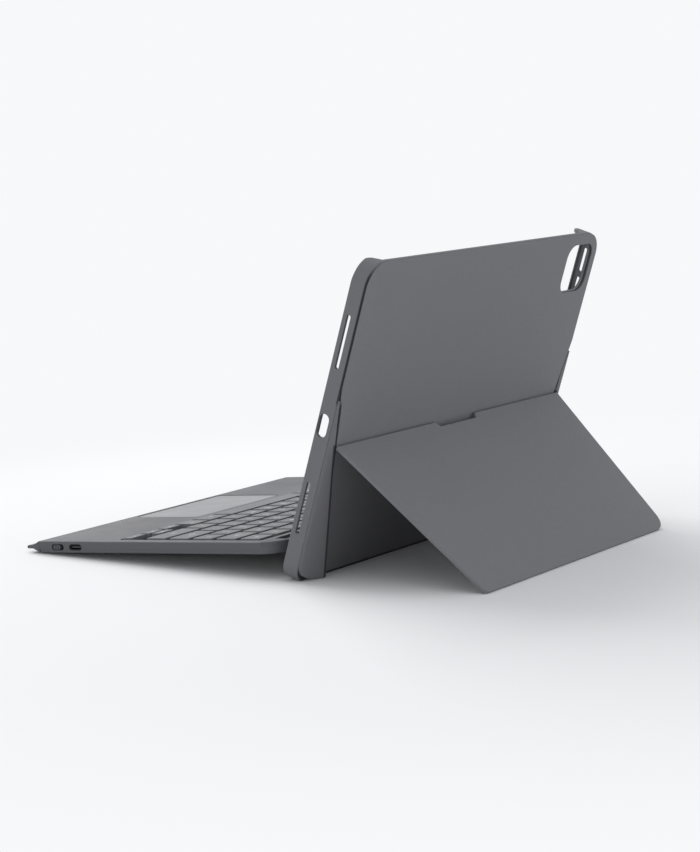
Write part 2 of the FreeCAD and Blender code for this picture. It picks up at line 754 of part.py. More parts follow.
def base_screw(across, run):
    """A small flat-headed screw set into the underside."""
    head = rod((across, run, 0.2), 0.5, 1.7, Vector(0, 0, 1))
    return fuse([head, rod((across, run, 0.6), 1.5, 0.7, Vector(0, 0, 1))])


def make_front_lip():
    """Soft strip along the front: full height at the keyboard, flaring in from a thin rounded nose."""
    body = new_body()
    reach, nose, middle = size("lip_reach"), size("lip_nose"), size("keyboard_thick") / 2
    flare, turn = size("lip_flare"), size("lip_flare_round")
    sketch = new_sketch(body, plane="YZ_Plane")
    draw_outline(sketch, [(-reach, middle - nose, nose * 0.98), (-flare, middle - nose, turn), (0, 0.2, 0),
                          (0, size("keyboard_thick") - 0.1, 0), (-flare, middle + nose, turn),
                          (-reach, middle + nose, nose * 0.98)])
    feature = pad(body, sketch, f"{cell('keyboard_width')} - 0.8")
    feature.Midplane = True
    return body


# Keys: rows from the front, each a list of widths in units with the names of the large keys
ROWS = [
    ("keys_modifier_row", [1, 1, 1, 1.25, ("key_space", 5), 1.25, 1, "arrow", "arrows", "arrow"]),
    ("keys_lower_letter_row", [("key_shift_left", 2.25)] + [1] * 10 + [("key_shift_right", 2.25)]),
    ("keys_home_row", [("key_caps", 1.75)] + [1] * 11 + [("key_enter", 1.75)]),
    ("keys_upper_letter_row", [("key_tab", 1.5)] + [1] * 13),
    ("keys_number_row", [1] * 13 + [("key_backspace", 1.5)]),
    ("keys_function_row", [1.0357] * 14),
]
half_row = f"({cell('row_pitch')} - {cell('key_gap')}) / 2 - 0.35"
dome_places = []


def key_cap(left, right, front, rear):
    """A hollow cap that narrows to its top, with rounded upright corners."""
    cap = doc.addObject("Part::Wedge", "Cap")
    narrow = cell("key_taper")
    limits = {"Xmin": left, "Xmax": right, "Ymin": cell("key_foot"), "Ymax": cell("key_top"),
              "Zmin": f"-({rear})", "Zmax": f"-({front})", "X2min": f"({left}) + {narrow}",
              "X2max": f"({right}) - {narrow}", "Z2min": f"-({rear}) + {narrow}",
              "Z2max": f"-({front}) - {narrow}"}
    bind(cap, **limits)
    cap.Placement.Rotation = Rotation(Vector(1, 0, 0), 90)
    doc.recompute([cap])
    rounded = doc.addObject("Part::Fillet", "RoundedCap")
    rounded.Base = cap
    upright = [index for index, edge in enumerate(cap.Shape.Edges, start=1)
               if abs(edge.Vertexes[0].Z - edge.Vertexes[1].Z) > 0.1]
    rounded.Edges = [(index, size("key_round"), size("key_round")) for index in upright]
    skirt = cell("key_skirt")
    room = box((f"({left}) + {skirt}", f"({front}) + {skirt}", f"{cell('key_foot')} - 1"),
               (f"({right}) - {skirt}", f"({rear}) - {skirt}", f"{cell('key_top')} - {cell('key_crown')}"))
    return cut(rounded, [room])


def make_keys():
    unit, gap = cell("key_unit"), f"{cell('key_gap')} / 2"
    for number, (row_name, widths) in enumerate(ROWS):
        middle = f"{cell('row_start')} + {cell('row_pitch')} * {number + 0.5} - {cell('key_gap')} / 2"
        front, rear = f"{middle} - ({half_row})", f"{middle} + ({half_row})"
        place, shared = -7.25, []
        for entry in widths:
            name, width = entry if isinstance(entry, tuple) else (None, entry)
            kind, width = (width, 1) if isinstance(width, str) else (None, width)
            left, right = f"{place} * {unit} + {gap}", f"{place + width} * {unit} - {gap}"
            centre = f"{place + width / 2} * {unit}"
            if kind:
                low, high = f"{middle} - 0.35", f"{middle} + 0.35"
                side = "left" if kind == "arrow" and place < 5 else "right"
                lower = "key_arrow_down" if kind == "arrows" else f"key_arrow_{side}"
                node(lower, key_cap(left, right, front, low), "keys")
                dome_places.append((centre, f"({front} + {low}) / 2"))
                if kind == "arrows":
                    node("key_arrow_up", key_cap(left, right, high, rear), "keys")
                    dome_places.append((centre, f"({high} + {rear}) / 2"))
            else:
                cap = key_cap(left, right, front, rear)
                dome_places.append((centre, middle))
                if name:
                    node(name, cap, "keys")
                else:
                    shared.append(cap)
            place += width
        group(row_name, shared, "keys")


def make_domes():
    level = f"{cell('plate_foot')} + {cell('plate_thick')}"
    domes = []
    for across, run in dome_places:
        dome = doc.addObject("Part::Cone", "Dome")
        bind(dome, Radius1=cell("dome_radius"), Radius2=f"{cell('dome_radius')} / 2", Height=cell("dome_height"),
             Placement__Base__x=across, Placement__Base__y=run, Placement__Base__z=level)
        domes.append(dome)
    return domes


def make_plate(start, end, low, high):
    half = f"{cell('well_width')} / 2 + 2.4"
    return box((f"-({half})", start, low), (half, end, high))


# Touchpad
def make_touchpad():
    body = new_body()
    pad(body, draw_rectangle(new_sketch(body, level=f"{cell('touchpad_top')} - {cell('touchpad_thick')}",
                                        across=cell("touchpad_across"), rise=cell("touchpad_run")),
                             cell("touchpad_width"), cell("touchpad_depth"), "3"), cell("touchpad_thick"))
    return body


def make_touchpad_board():
    top = f"{cell('touchpad_top')} - {cell('touchpad_thick')}"
    half, deep = f"{cell('touchpad_width')} / 2 - 3", f"{cell('touchpad_depth')} / 2"
    across, run = cell("touchpad_across"), cell("touchpad_run")
    return box((f"{across} - ({half})", f"{run} - {deep} + 3", f"{top} - {cell('touchpad_board')}"),
               (f"{across} + {half}", f"{run} + {deep} + 2.2", top))


# Electronics at the right side wall
def board_top():
    return f"{cell('base_floor')} + {cell('board_thick')}"


def make_socket():
    """Rolled metal shell, open at the side wall."""
    outside = f"{cell('keyboard_width')} / 2 - 0.3"
    inside = f"{outside} - {cell('socket_reach')}"
    level = f"{board_top()} + {cell('socket_height')} / 2"
    tube = stadium(cell("socket_run"), level, cell("socket_length"), cell("socket_height"), inside, outside)
    bore = stadium(cell("socket_run"), level, f"{cell('socket_length')} - 0.6",
                   f"{cell('socket_height')} - 0.6", f"{inside} + 0.8", f"{outside} + 1")
    return cut(tube, [bore])


def make_tongue():
    outside = f"{cell('keyboard_width')} / 2 - 0.3"
    inside = f"{outside} - {cell('socket_reach')} + 0.8"
    level = f"{board_top()} + {cell('socket_height')} / 2"
    return box((inside, f"{cell('socket_run')} - 3.3", f"{level} - 0.35"),
               (f"{outside} - 1", f"{cell('socket_run')} + 3.3", f"{level} + 0.35"))


knob_start = f"{cell('switch_run')} - {cell('slot_length')} / 2 + 0.7"


def make_switch_housing():
    inside = f"{cell('keyboard_width')} / 2"
    return box((f"{inside} - 8", f"{cell('switch_run')} - 4.4", board_top()),
               (f"{inside} - 3.4", f"{cell('switch_run')} + 4.4", f"{board_top()} + 3.2"))


def make_knob():
    """Slide-switch button with grip ribs across its face."""
    inside = f"{cell('keyboard_width')} / 2"
    tall = f"({cell('slot_height')} - 0.8)"
    body = stadium(f"{knob_start} + {cell('knob_length')} / 2", cell("slot_level"), cell("knob_length"), tall,
                   f"{inside} - 3.1", f"{inside} - 0.6")
    ribs = [box((f"{inside} - 0.7", f"{knob_start} + {cell('knob_length')} / 2 + {place} - 0.25",
                 f"{cell('slot_level')} - 1"),
                (f"{inside} - 0.25", f"{knob_start} + {cell('knob_length')} / 2 + {place} + 0.25",
                 f"{cell('slot_level')} + 1")) for place in (-1, 0, 1)]
    return fuse([body] + ribs)


foot_places = [(across, run) for across in (-105, 105) for run in (size("foot_run"), 150)]


def make_feet():
    return [rod((across, run, f"-{cell('foot_thick')}"), cell("foot_thick"), cell("foot_radius"),
                Vector(0, 0, 1)) for across, run in foot_places]


# Assembly
node("tray_frame", make_tray_frame(), "tray")
node("back_panel", make_back_panel(), "tray")
node("side_pad_left", make_side_pad(-1), "tray")
node("side_pad_right", make_side_pad(1), "tray")
node("pocket_lining", make_lining(), "tray")
node("back_steel_plate", make_steel_plate(), "tray")
node("hinge_bracket", make_hinge_bracket(), "tray")
node("hinge_pin", hinge_pin(link_rise, f"-{cell('pivot_proud')}"), "tray")
group("bracket_rivets", [rivet(sign) for sign in "+-"], "tray")
group("dock_magnets", [dock_magnet(sign) for sign in "+-"], "tray")
node("strip_root", make_strip_root(), "tray")

for sign, side in ((-1, "left"), (1, "right")):
    node(f"link_arm_{side}", make_link_arm(sign), "link")

node("kickstand_board", make_leaf_board(), "leaf")
node("kickstand_lining", make_leaf_lining(), "leaf")
node("stand_bracket", make_stand_bracket(), "leaf")
node("stand_pin", hinge_pin(cell("link_length"), 0), "leaf")
group("stand_magnets", [leaf_magnet(*place) for place in leaf_magnets], "leaf")

node("hinge_strip", make_strip(), "strip")
node("strip_core", make_strip_core(), "strip")

node("keyboard_deck", make_deck(), "keys")
node("keyboard_base", make_base(), "keys")
group("base_screws", [base_screw(*place) for place in screw_places], "keys")
node("front_lip", make_front_lip(), "keys")
node("strip_tail", make_strip_tail(), "keys")
plate_low, plate_high = cell("plate_foot"), f"{cell('plate_foot')} + {cell('plate_thick')}"
node("key_support_plate", make_plate("53", "157.5", plate_low, plate_high), "keys")
node("membrane_sheet", make_plate("54", "156.5", f"{plate_low} - {cell('membrane_thick')}", plate_low), "keys")
make_keys()
group("rubber_domes", make_domes(), "keys")
node("touchpad_plate", make_touchpad(), "keys")
node("touchpad_board", make_touchpad_board(), "keys")
node("main_board", box((70, 7, cell("base_floor")), (122.5, 46, board_top())), "keys")
node("battery", box((-46, 5, cell("base_floor")), (38, 48, "3.6")), "keys")
node("usb_socket", make_socket(), "keys")
node("usb_tongue", make_tongue(), "keys")
node("switch_housing", make_switch_housing(), "keys")
node("power_switch_knob", make_knob(), "keys")
group("keyboard_feet", make_feet(), "keys")

# Checks, then one file for each piece
doc.recompute()
for item in doc.Objects:
    if "Invalid" in item.State or "Error" in item.State:
        raise RuntimeError(f"{item.Label} ({item.TypeId}) failed: {item.State}")
    if item.TypeId == "PartDesign::Pocket":
        if item.BaseFeature.Shape.Volume - item.Shape.Volume < 1:
            raise RuntimeError(f"{item.Name} cuts nothing")
os.makedirs("parts", exist_ok=True)
for piece in nodes:
    if piece.Shape.isNull() or not piece.Shape.isValid():
        raise RuntimeError(f"{piece.Label} is not a valid solid")
    piece.Shape.exportStep(f"parts/{piece.Label}.step")
    print(f"{piece.Label}: {len(piece.Shape.Solids)} solid, {piece.Shape.Volume:.1f} mm3")


def show(name, point):
    place = point + centring
    print(f"{name} at y {place.y:.3f}, z {place.z:.3f} mm")


show("link pivot", link_base)
show("stand pivot", link_base + Rotation(Vector(1, 0, 0), FRAMES["link"][1]).multVec(
    Vector(0, size("link_length"), 0)))
show("tray fold", tray_fold)
show("keyboard fold", keys_fold)
show("keyboard front edge", keys_base)
show("tray back edge", tray_base)
closing = 180 - math.degrees(up_tray.getAngle(strip_vector))
print(f"strip closes through {closing:.3f} degrees, link rise {link_rise:.3f} mm")
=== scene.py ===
# %% [markdown]
# # A folding tablet keyboard case
# The case has three leaves: a moulded tray, a kickstand leaf on the back of the tray, and a thin keyboard
# that hangs on a soft folding strip. Its construction is already modelled to size. This lesson dresses it:
# finishes for the moulded and covered surfaces, the soft pieces, the printed key legends, and a plain studio
# around it. Blender works in metres. Sizes that belong to the tray, the leaf or the keyboard are written in
# millimetres, and a matrix carries them into the model.

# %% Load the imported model
import json
import math

import bmesh
import bpy
from mathutils import Matrix, Vector
from mathutils.geometry import interpolate_bezier


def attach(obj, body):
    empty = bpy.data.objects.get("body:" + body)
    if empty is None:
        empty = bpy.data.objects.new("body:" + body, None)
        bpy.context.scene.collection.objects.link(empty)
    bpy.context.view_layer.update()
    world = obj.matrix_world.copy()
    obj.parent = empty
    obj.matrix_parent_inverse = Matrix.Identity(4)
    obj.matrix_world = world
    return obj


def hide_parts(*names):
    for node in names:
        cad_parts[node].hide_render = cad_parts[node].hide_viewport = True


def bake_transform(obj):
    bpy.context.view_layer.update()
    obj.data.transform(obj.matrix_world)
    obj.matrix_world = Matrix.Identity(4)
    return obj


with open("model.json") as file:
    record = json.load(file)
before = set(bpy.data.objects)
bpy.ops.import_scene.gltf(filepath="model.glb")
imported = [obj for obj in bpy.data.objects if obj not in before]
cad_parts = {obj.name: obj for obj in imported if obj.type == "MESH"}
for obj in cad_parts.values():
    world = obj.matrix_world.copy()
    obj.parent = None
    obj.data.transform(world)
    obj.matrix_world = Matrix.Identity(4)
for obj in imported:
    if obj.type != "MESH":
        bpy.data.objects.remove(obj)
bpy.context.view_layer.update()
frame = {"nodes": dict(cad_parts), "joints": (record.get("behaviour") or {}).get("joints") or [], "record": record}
nodes = frame["nodes"]
MM, MICRON = 0.001, 0.000001

# %% [markdown]
# ## Two local frames
# The tray leans back and the keyboard tilts a little, so it is easier to describe a soft piece in the
# tray's or the keyboard's own coordinates and let a matrix stand it up. Both frames are found from the
# fold joints of the strip, whose places in the tray and in the keyboard are known. Parenting to a tilted
# empty would do the same for objects, but a matrix also carries plain points.

# %% Tray frame and keyboard frame
TRAY_LEAN = math.radians(17.44)
KEYBOARD_TILT = math.radians(4.64)
TRAY_FOLD = Vector((0, 9.4, 12.44))
KEYBOARD_FOLD = Vector((0, 170.5, 6.1))
joint_place = {joint["name"]: Vector(joint["pos_m"]) for joint in frame["joints"] if "pos_m" in joint}


def standing_frame(turn, known_point, place):
    """A frame turned about X, with the known local point (in mm) at its place in the model."""
    turned = Matrix.Rotation(turn, 4, "X") @ Matrix.Scale(MM, 4)
    return Matrix.Translation(place - turned @ known_point) @ turned


# local x runs to the typist's right, y up the tray or away from the typist, z out of the front or the top
TRAY = standing_frame(math.pi / 2 - TRAY_LEAN, TRAY_FOLD, joint_place["strip_fold"])
KEYBOARD = standing_frame(KEYBOARD_TILT, KEYBOARD_FOLD, joint_place["keyboard_fold"])
print("tray origin", TRAY.translation[:], "keyboard origin", KEYBOARD.translation[:])

# %% [markdown]
# ## Shared effects
# The finishes differ in colour but share a few effects: the fine pebble of a pressed covering, the
# spark-eroded texture of moulded plastic, the faint clouding that handling leaves, and the painted shade in
# the groove where the back panel meets the tray. Each effect is a node group with a named input, so every
# material can place it with its own value. They are computed rather than drawn into images, so they stay
# sharp close up and have no edges where an image would repeat.


# %% Node group helpers
def new_group(name, label, default, outputs):
    """An empty shader node group with one float input and named float outputs."""
    group = bpy.data.node_groups.new(name, "ShaderNodeTree")
    socket = group.interface.new_socket(label, in_out="INPUT", socket_type="NodeSocketFloat")
    socket.default_value = default
    for output in outputs:
        group.interface.new_socket(output, in_out="OUTPUT", socket_type="NodeSocketFloat")
    value = group.nodes.new("NodeGroupInput").outputs[0]
    return group, value, group.nodes.new("NodeGroupOutput").inputs


def feed(tree, source, socket):
    """Link a socket, or set a plain value."""
    if isinstance(source, (int, float)):
        socket.default_value = source
    else:
        tree.links.new(source, socket)


def surface_point(tree):
    """The point on the object, in metres, which moves with the piece."""
    return tree.nodes.new("ShaderNodeTexCoord").outputs["Object"]


def noise(tree, point, scale, detail=3.0, roughness=0.55):
    node = tree.nodes.new("ShaderNodeTexNoise")
    node.inputs["Detail"].default_value = detail
    node.inputs["Roughness"].default_value = roughness
    tree.links.new(point, node.inputs["Vector"])
    feed(tree, scale, node.inputs["Scale"])
    return node.outputs["Fac"]


# %% Small sums inside a node tree
def math_node(tree, operation, first, second=0.0):
    node = tree.nodes.new("ShaderNodeMath")
    node.operation = operation
    feed(tree, first, node.inputs[0])
    feed(tree, second, node.inputs[1])
    return node.outputs[0]


def product(tree, first, second):
    return math_node(tree, "MULTIPLY", first, second)


def larger(tree, first, second):
    return math_node(tree, "MAXIMUM", first, second)


def inverse(tree, value):
    return math_node(tree, "SUBTRACT", 1.0, value)


def remap(tree, value, low, high):
    """A smooth step from 0 at the low value to 1 at the high value."""
    node = tree.nodes.new("ShaderNodeMapRange")
    node.interpolation_type = "SMOOTHSTEP"
    tree.links.new(value, node.inputs["Value"])
    feed(tree, low, node.inputs["From Min"])
    feed(tree, high, node.inputs["From Max"])
    return node.outputs["Result"]


# %% [markdown]
# ### Pressed pebble
# The covering is a soft-touch sheet with a grain rolled into it: small rounded bumps that touch one another.
# Smooth Voronoi cells give such bumps, and a coarser noise keeps them from looking like tiles.

# %% Pressed pebble grain
PEBBLE_SOFTNESS, COARSE_SCALE, COARSE_HEIGHT = 0.6, 0.3, 0.7
PEBBLE_VALLEY, PEBBLE_CREST = 0.75, 1.45


def make_pebble_group():
    group, cells_per_metre, made = new_group("pressed pebble", "Cells per metre", 1500.0, ["Height", "Shade"])
    point = surface_point(group)
    cells = group.nodes.new("ShaderNodeTexVoronoi")
    cells.feature = "SMOOTH_F1"
    cells.inputs["Smoothness"].default_value = PEBBLE_SOFTNESS
    group.links.new(point, cells.inputs["Vector"])
    group.links.new(cells_per_metre, cells.inputs["Scale"])
    coarse = noise(group, point, product(group, cells_per_metre, COARSE_SCALE))
    pebble = inverse(group, cells.outputs["Distance"])
    height = math_node(group, "ADD", pebble, product(group, coarse, COARSE_HEIGHT))
    group.links.new(height, made["Height"])
    group.links.new(remap(group, height, PEBBLE_VALLEY, PEBBLE_CREST), made["Shade"])
    return group


# %% [markdown]
# ### Mould texture
# Moulded plastic takes over the fine texture of its mould. Two layers of noise are enough, a fine one and a
# broad, weaker one. Sculpting it would take millions of faces for something that is only microns deep.

# %% Spark-eroded mould texture
BROAD_SCALE, BROAD_HEIGHT = 0.12, 0.4
MOULD_VALLEY, MOULD_CREST = 0.45, 0.95


def make_mould_group():
    group, grains, made = new_group("mould texture", "Grains per metre", 4000.0, ["Height", "Shade"])
    point = surface_point(group)
    fine = noise(group, point, grains, detail=2.0)
    broad = noise(group, point, product(group, grains, BROAD_SCALE), detail=4.0)
    height = math_node(group, "ADD", fine, product(group, broad, BROAD_HEIGHT))
    group.links.new(height, made["Height"])
    group.links.new(remap(group, height, MOULD_VALLEY, MOULD_CREST), made["Shade"])
    return group


# %% [markdown]
# ### Handling
# Hands leave faint patches that are a little lighter and duller than the rest. One slow noise is the mask
# for them. It is used weakly, because the case is clean.

# %% Clouding from handling
CLOUDS_PER_METRE, CLOUD_CLEAR, CLOUD_FULL = 26.0, 0.35, 0.7


def make_clouding_group():
    group, clouds_per_metre, made = new_group("handling", "Clouds per metre", CLOUDS_PER_METRE, ["Cloud"])
    cloud = noise(group, surface_point(group), clouds_per_metre, detail=5.0, roughness=0.6)
    group.links.new(remap(group, cloud, CLOUD_CLEAR, CLOUD_FULL), made["Cloud"])
    return group


# %% [markdown]
# ### Painted groove shade
# The panel is glued into the tray, and the groove between them is painted dark as shade, a line about two
# millimetres wide, where a deeper groove would fall into shade. It could be a thin cord of its own, but a
# mask in the two materials that meet there follows the groove exactly. The mask is found from the tray's own
# coordinates. Above the pads it runs up the tray's sides at one level. Beside the pads it follows the tapered
# edge of the panel, and paints a little shade on that edge. Beside the tip of the left pad, where the pad
# closes on the panel, only a trace of it is left.

# %% Painted shade round the back panel
# painted shade in the groove: its level, half width and core, and the heights where it runs and fades
GROOVE_LEVEL, GROOVE_HALF, GROOVE_CORE = 1.25, 0.95, 0.55
GROOVE_FROM, GROOVE_FADE, GROOVE_TO, GROOVE_END = 102, 106, 174, 181
TAPER_FOOT, TAPER_SLOPE, GROOVE_REACH, PANEL_GAP = 105.6, 0.188, 0.4, 1.2
EDGE_SHADE, EDGE_FROM, EDGE_TO, EDGE_FADE = 1.4, 102, 107, 0.1
THIN_FROM, THIN_TO, THICK_FROM, THICK_TO = 76, 80, 111, 115
THIN_SHARE, MIDDLE_FADE = 0.12, 1


def tray_reading(tree, axis):
    """How far a surface point lies along one axis of the tray's frame, in mm."""
    along = TRAY.to_3x3().col[axis].normalized()
    reading = tree.nodes.new("ShaderNodeVectorMath")
    reading.operation = "DOT_PRODUCT"
    tree.links.new(surface_point(tree), reading.inputs[0])
    reading.inputs[1].default_value = along
    from_origin = math_node(tree, "SUBTRACT", reading.outputs["Value"], along.dot(TRAY.translation))
    return math_node(tree, "DIVIDE", from_origin, MM)


# %% Mask of the painted groove shade
def make_groove_shade_group():
    # a mask of painted shade, in the groove round the panel and on the panel's tapered edge
    group, half_width, made = new_group("painted groove shade", "Half width in mm", GROOVE_HALF, ["Seam"])
    across, rise, level = (tray_reading(group, axis) for axis in range(3))
    away = math_node(group, "ABSOLUTE", math_node(group, "SUBTRACT", level, GROOVE_LEVEL))
    line = inverse(group, remap(group, away, product(group, half_width, GROOVE_CORE), half_width))
    above = remap(group, rise, GROOVE_FROM, GROOVE_FADE)
    straight = product(group, above, inverse(group, remap(group, rise, GROOVE_TO, GROOVE_END)))
    past_taper = math_node(group, "SUBTRACT", math_node(group, "ABSOLUTE", across),
                           product(group, rise, TAPER_SLOPE))
    inside = inverse(group, remap(group, past_taper, TAPER_FOOT, TAPER_FOOT + GROOVE_REACH))
    taper = product(group, inverse(group, above), inside)
    groove = product(group, line, larger(group, straight, taper))
    # painted shade on the panel's own tapered edge, beside the groove
    shade_from = TAPER_FOOT - PANEL_GAP - EDGE_SHADE
    edge = remap(group, past_taper, shade_from, shade_from + EDGE_SHADE / 2)
    for reading, low, high in ((rise, EDGE_FROM, EDGE_TO),
                               (level, GROOVE_LEVEL - EDGE_FADE, GROOVE_LEVEL + EDGE_FADE)):
        edge = product(group, edge, inverse(group, remap(group, reading, low, high)))
    # on the left beside the pad's tip, only a trace of the painted shade is kept
    on_right = remap(group, across, -MIDDLE_FADE, MIDDLE_FADE)
    thick = larger(group, inverse(group, remap(group, rise, THIN_FROM, THIN_TO)),
                   remap(group, rise, THICK_FROM, THICK_TO))
    kept = larger(group, larger(group, on_right, thick), THIN_SHARE)
    group.links.new(product(group, larger(group, groove, edge), kept), made["Seam"])
    return group


PEBBLE, MOULD, CLOUDING = make_pebble_group(), make_mould_group(), make_clouding_group()
GROOVE_SHADE = make_groove_shade_group()
print("effects:", ", ".join(group.name for group in (PEBBLE, MOULD, CLOUDING, GROOVE_SHADE)))

# %% [markdown]
# ## One recipe for the grey finishes
# The tray, covering, keyboard and keys are all matte greys. What sets them apart is the grain, how deep it
# is and how rough the surface is. So one function builds the material: the grain shades the colour a little
# and feeds a bump, the clouding moves the tone and the roughness, and where it is asked for, painted shade
# darkens the groove. A node tree built by hand for each would look the same, but would be hard to keep alike.

# %% Parts of a finish
# the sockets of a mix node that carry colours
MIX_FIRST, MIX_SECOND, MIX_RESULT = 6, 7, 2


def tone(red, green, blue):
    """A colour from 8-bit screen values to the linear values that Blender uses, by the sRGB curve."""
    return tuple(((value / 255 + 0.055) / 1.055) ** 2.4 for value in (red, green, blue))


# the tone of the painted shade in the groove
GROOVE_SHADE_TONE = tone(30, 30, 33)


def place_group(tree, group, value):
    node = tree.nodes.new("ShaderNodeGroup")
    node.node_tree = group
    node.inputs[0].default_value = value
    return node


def mix_colour(tree, factor, first, second):
    node = tree.nodes.new("ShaderNodeMix")
    node.data_type = "RGBA"
    tree.links.new(factor, node.inputs[0])
    for source, number in ((first, MIX_FIRST), (second, MIX_SECOND)):
        if isinstance(source, tuple):
            node.inputs[number].default_value = (*source, 1)
        else:
            tree.links.new(source, node.inputs[number])
    return node.outputs[MIX_RESULT]


def new_material(name):
    """An empty material, its node tree and its main shader."""
    material = bpy.data.materials.new(name)
    material.use_nodes = True
    return material, material.node_tree, material.node_tree.nodes["Principled BSDF"]


def vary_roughness(tree, factor, low, high):
    varied = tree.nodes.new("ShaderNodeMapRange")
    tree.links.new(factor, varied.inputs["Value"])
    varied.inputs["To Min"].default_value = low
    varied.inputs["To Max"].default_value = high
    tree.links.new(varied.outputs["Result"], tree.nodes["Principled BSDF"].inputs["Roughness"])


# %% Grey finish recipe
CREST_SHARE, CLOUD_LIGHTER, CLOUD_SHARE = 0.6, 0.1, 0.35
ROUGH_BELOW, ROUGH_ABOVE, BUMP_STRENGTH = 0.05, 0.06, 0.5


def grained_material(name, colour, group, grain, depth, rough, contrast=0.1, sheen=0.0, specular=0.35,
                     groove_shade=0.0):
    """A matte finish whose grain has a scale per metre and a depth in metres."""
    material, tree, shader = new_material(name)
    texture, handled = place_group(tree, group, grain), place_group(tree, CLOUDING, CLOUDS_PER_METRE)
    deep = tuple(c * (1 - contrast) for c in colour)
    high = tuple(c * (1 + contrast * CREST_SHARE) for c in colour)
    shade = mix_colour(tree, texture.outputs["Shade"], deep, high)
    lighter = tuple(min(c * (1 + CLOUD_LIGHTER), 1.0) for c in colour)
    shown = mix_colour(tree, product(tree, handled.outputs["Cloud"], CLOUD_SHARE), shade, lighter)
    # painted shade darkens the groove round the back panel, where asked for
    if groove_shade:
        line = product(tree, place_group(tree, GROOVE_SHADE, GROOVE_HALF).outputs["Seam"], groove_shade)
        shown = mix_colour(tree, line, shown, GROOVE_SHADE_TONE)
    tree.links.new(shown, shader.inputs["Base Color"])
    vary_roughness(tree, handled.outputs["Cloud"], rough - ROUGH_BELOW, min(rough + ROUGH_ABOVE, 1.0))
    bump = tree.nodes.new("ShaderNodeBump")
    bump.inputs["Strength"].default_value = BUMP_STRENGTH
    bump.inputs["Distance"].default_value = depth
    tree.links.new(texture.outputs["Height"], bump.inputs["Height"])
    tree.links.new(bump.outputs["Normal"], shader.inputs["Normal"])
    shader.inputs["Specular IOR Level"].default_value = specular
    shader.inputs["Sheen Weight"].default_value = sheen
    return material


# %% [markdown]
# ## The finishes
# Tones are written as the screen values that a neutral light should give. The covering of the back panel
# and the leaf is a pressed soft-touch sheet, the tray and keyboard are moulded, and the pocket is lined with
# short-pile microfibre. Each row of the table gives the name, the tone, the kind of grain, its scale per
# metre, its depth in microns, the roughness, and whatever differs from the plain recipe.

# %% Grey materials
GREYS = {
    "cover": ("pressed covering", (115, 115, 119), PEBBLE, 1700, 60, 0.72, {"sheen": 0.06}),
    # the panel's covering is the leaf's, painted a little darker as shade, with painted shade in its groove
    "panel": ("panel covering with painted shade", (109, 109, 113), PEBBLE, 1700, 60, 0.72, {"sheen": 0.06, "groove_shade": 0.9}),
    # the pads' covering is the leaf's too, painted darker as shade
    "pad": ("covered pad painted darker", (103, 103, 107), PEBBLE, 1700, 60, 0.7, {"sheen": 0.06}),
    "strip": ("strip leather", (88, 88, 92), PEBBLE, 1500, 80, 0.7, {"sheen": 0.06}),
    # the tray takes painted shade in its groove
    "bumper": ("moulded tray", (106, 106, 110), MOULD, 5000, 30, 0.66, {"contrast": 0.06, "groove_shade": 0.9}),
    "lining": ("microfibre", (84, 84, 88), MOULD, 2600, 200, 0.95,
               {"contrast": 0.2, "sheen": 0.5, "specular": 0.1}),
    "deck": ("moulded keyboard", (86, 86, 90), MOULD, 5200, 30, 0.6, {"contrast": 0.06}),
    "lip": ("soft front strip", (88, 88, 92), MOULD, 5000, 30, 0.7, {"contrast": 0.06}),
    "keycap": ("key caps", (101, 101, 105), MOULD, 6000, 20, 0.55, {"contrast": 0.05}),
    "touch": ("touch surface", (111, 111, 115), MOULD, 7000, 6, 0.34, {"contrast": 0.03, "specular": 0.5}),
    "knob": ("switch button", (84, 84, 88), MOULD, 6000, 30, 0.5, {"contrast": 0.06}),
    # dark plastic also stands as painted shade on the pads' inner edges
    "core": ("dark plastic and painted shade", (46, 46, 49), MOULD, 5000, 30, 0.55, {"contrast": 0.08}),
    "tongue": ("socket insert", (72, 72, 75), MOULD, 5000, 20, 0.5, {"contrast": 0.08}),
    "silicone": ("silicone", (62, 62, 65), MOULD, 3000, 30, 0.75, {"contrast": 0.08}),
    "membrane": ("key membrane", (40, 41, 44), MOULD, 3000, 20, 0.5, {"contrast": 0.08}),
    "plate": ("black painted plate", (40, 40, 43), MOULD, 4000, 20, 0.5, {"contrast": 0.08}),
    "circuit": ("circuit board", (26, 72, 48), MOULD, 2400, 40, 0.45, {"contrast": 0.15}),
    "print": ("key print", (216, 217, 220), MOULD, 6000, 4, 0.6, {"contrast": 0.04}),
    "cell": ("foil pouch", (92, 92, 96), PEBBLE, 500, 100, 0.4, {}),
}
FINISH = {}
for slot, (title, screen, grain, scale, microns, rough, extra) in GREYS.items():
    FINISH[slot] = grained_material(title, tone(*screen), grain, scale, microns * MICRON, rough, **extra)
print(len(FINISH), "grey finishes")

# %% [markdown]
# ### Metals
# Steel and nickel are metals, so their tone is the metal's own and the texture is the fine scratching of
# rolling or plating. Noise that is stretched along one axis gives such lines. Most of these pieces are
# inside the case, so nothing more is spent on them.

# %% Metal materials
SCRATCH_STRETCH, MARK_FAINT, MARK_FULL, MARK_SHADE = (0.06, 1.0, 1.0), 0.3, 0.7, 0.85
METAL_ROUGH_BELOW, METAL_ROUGH_ABOVE = 0.08, 0.1


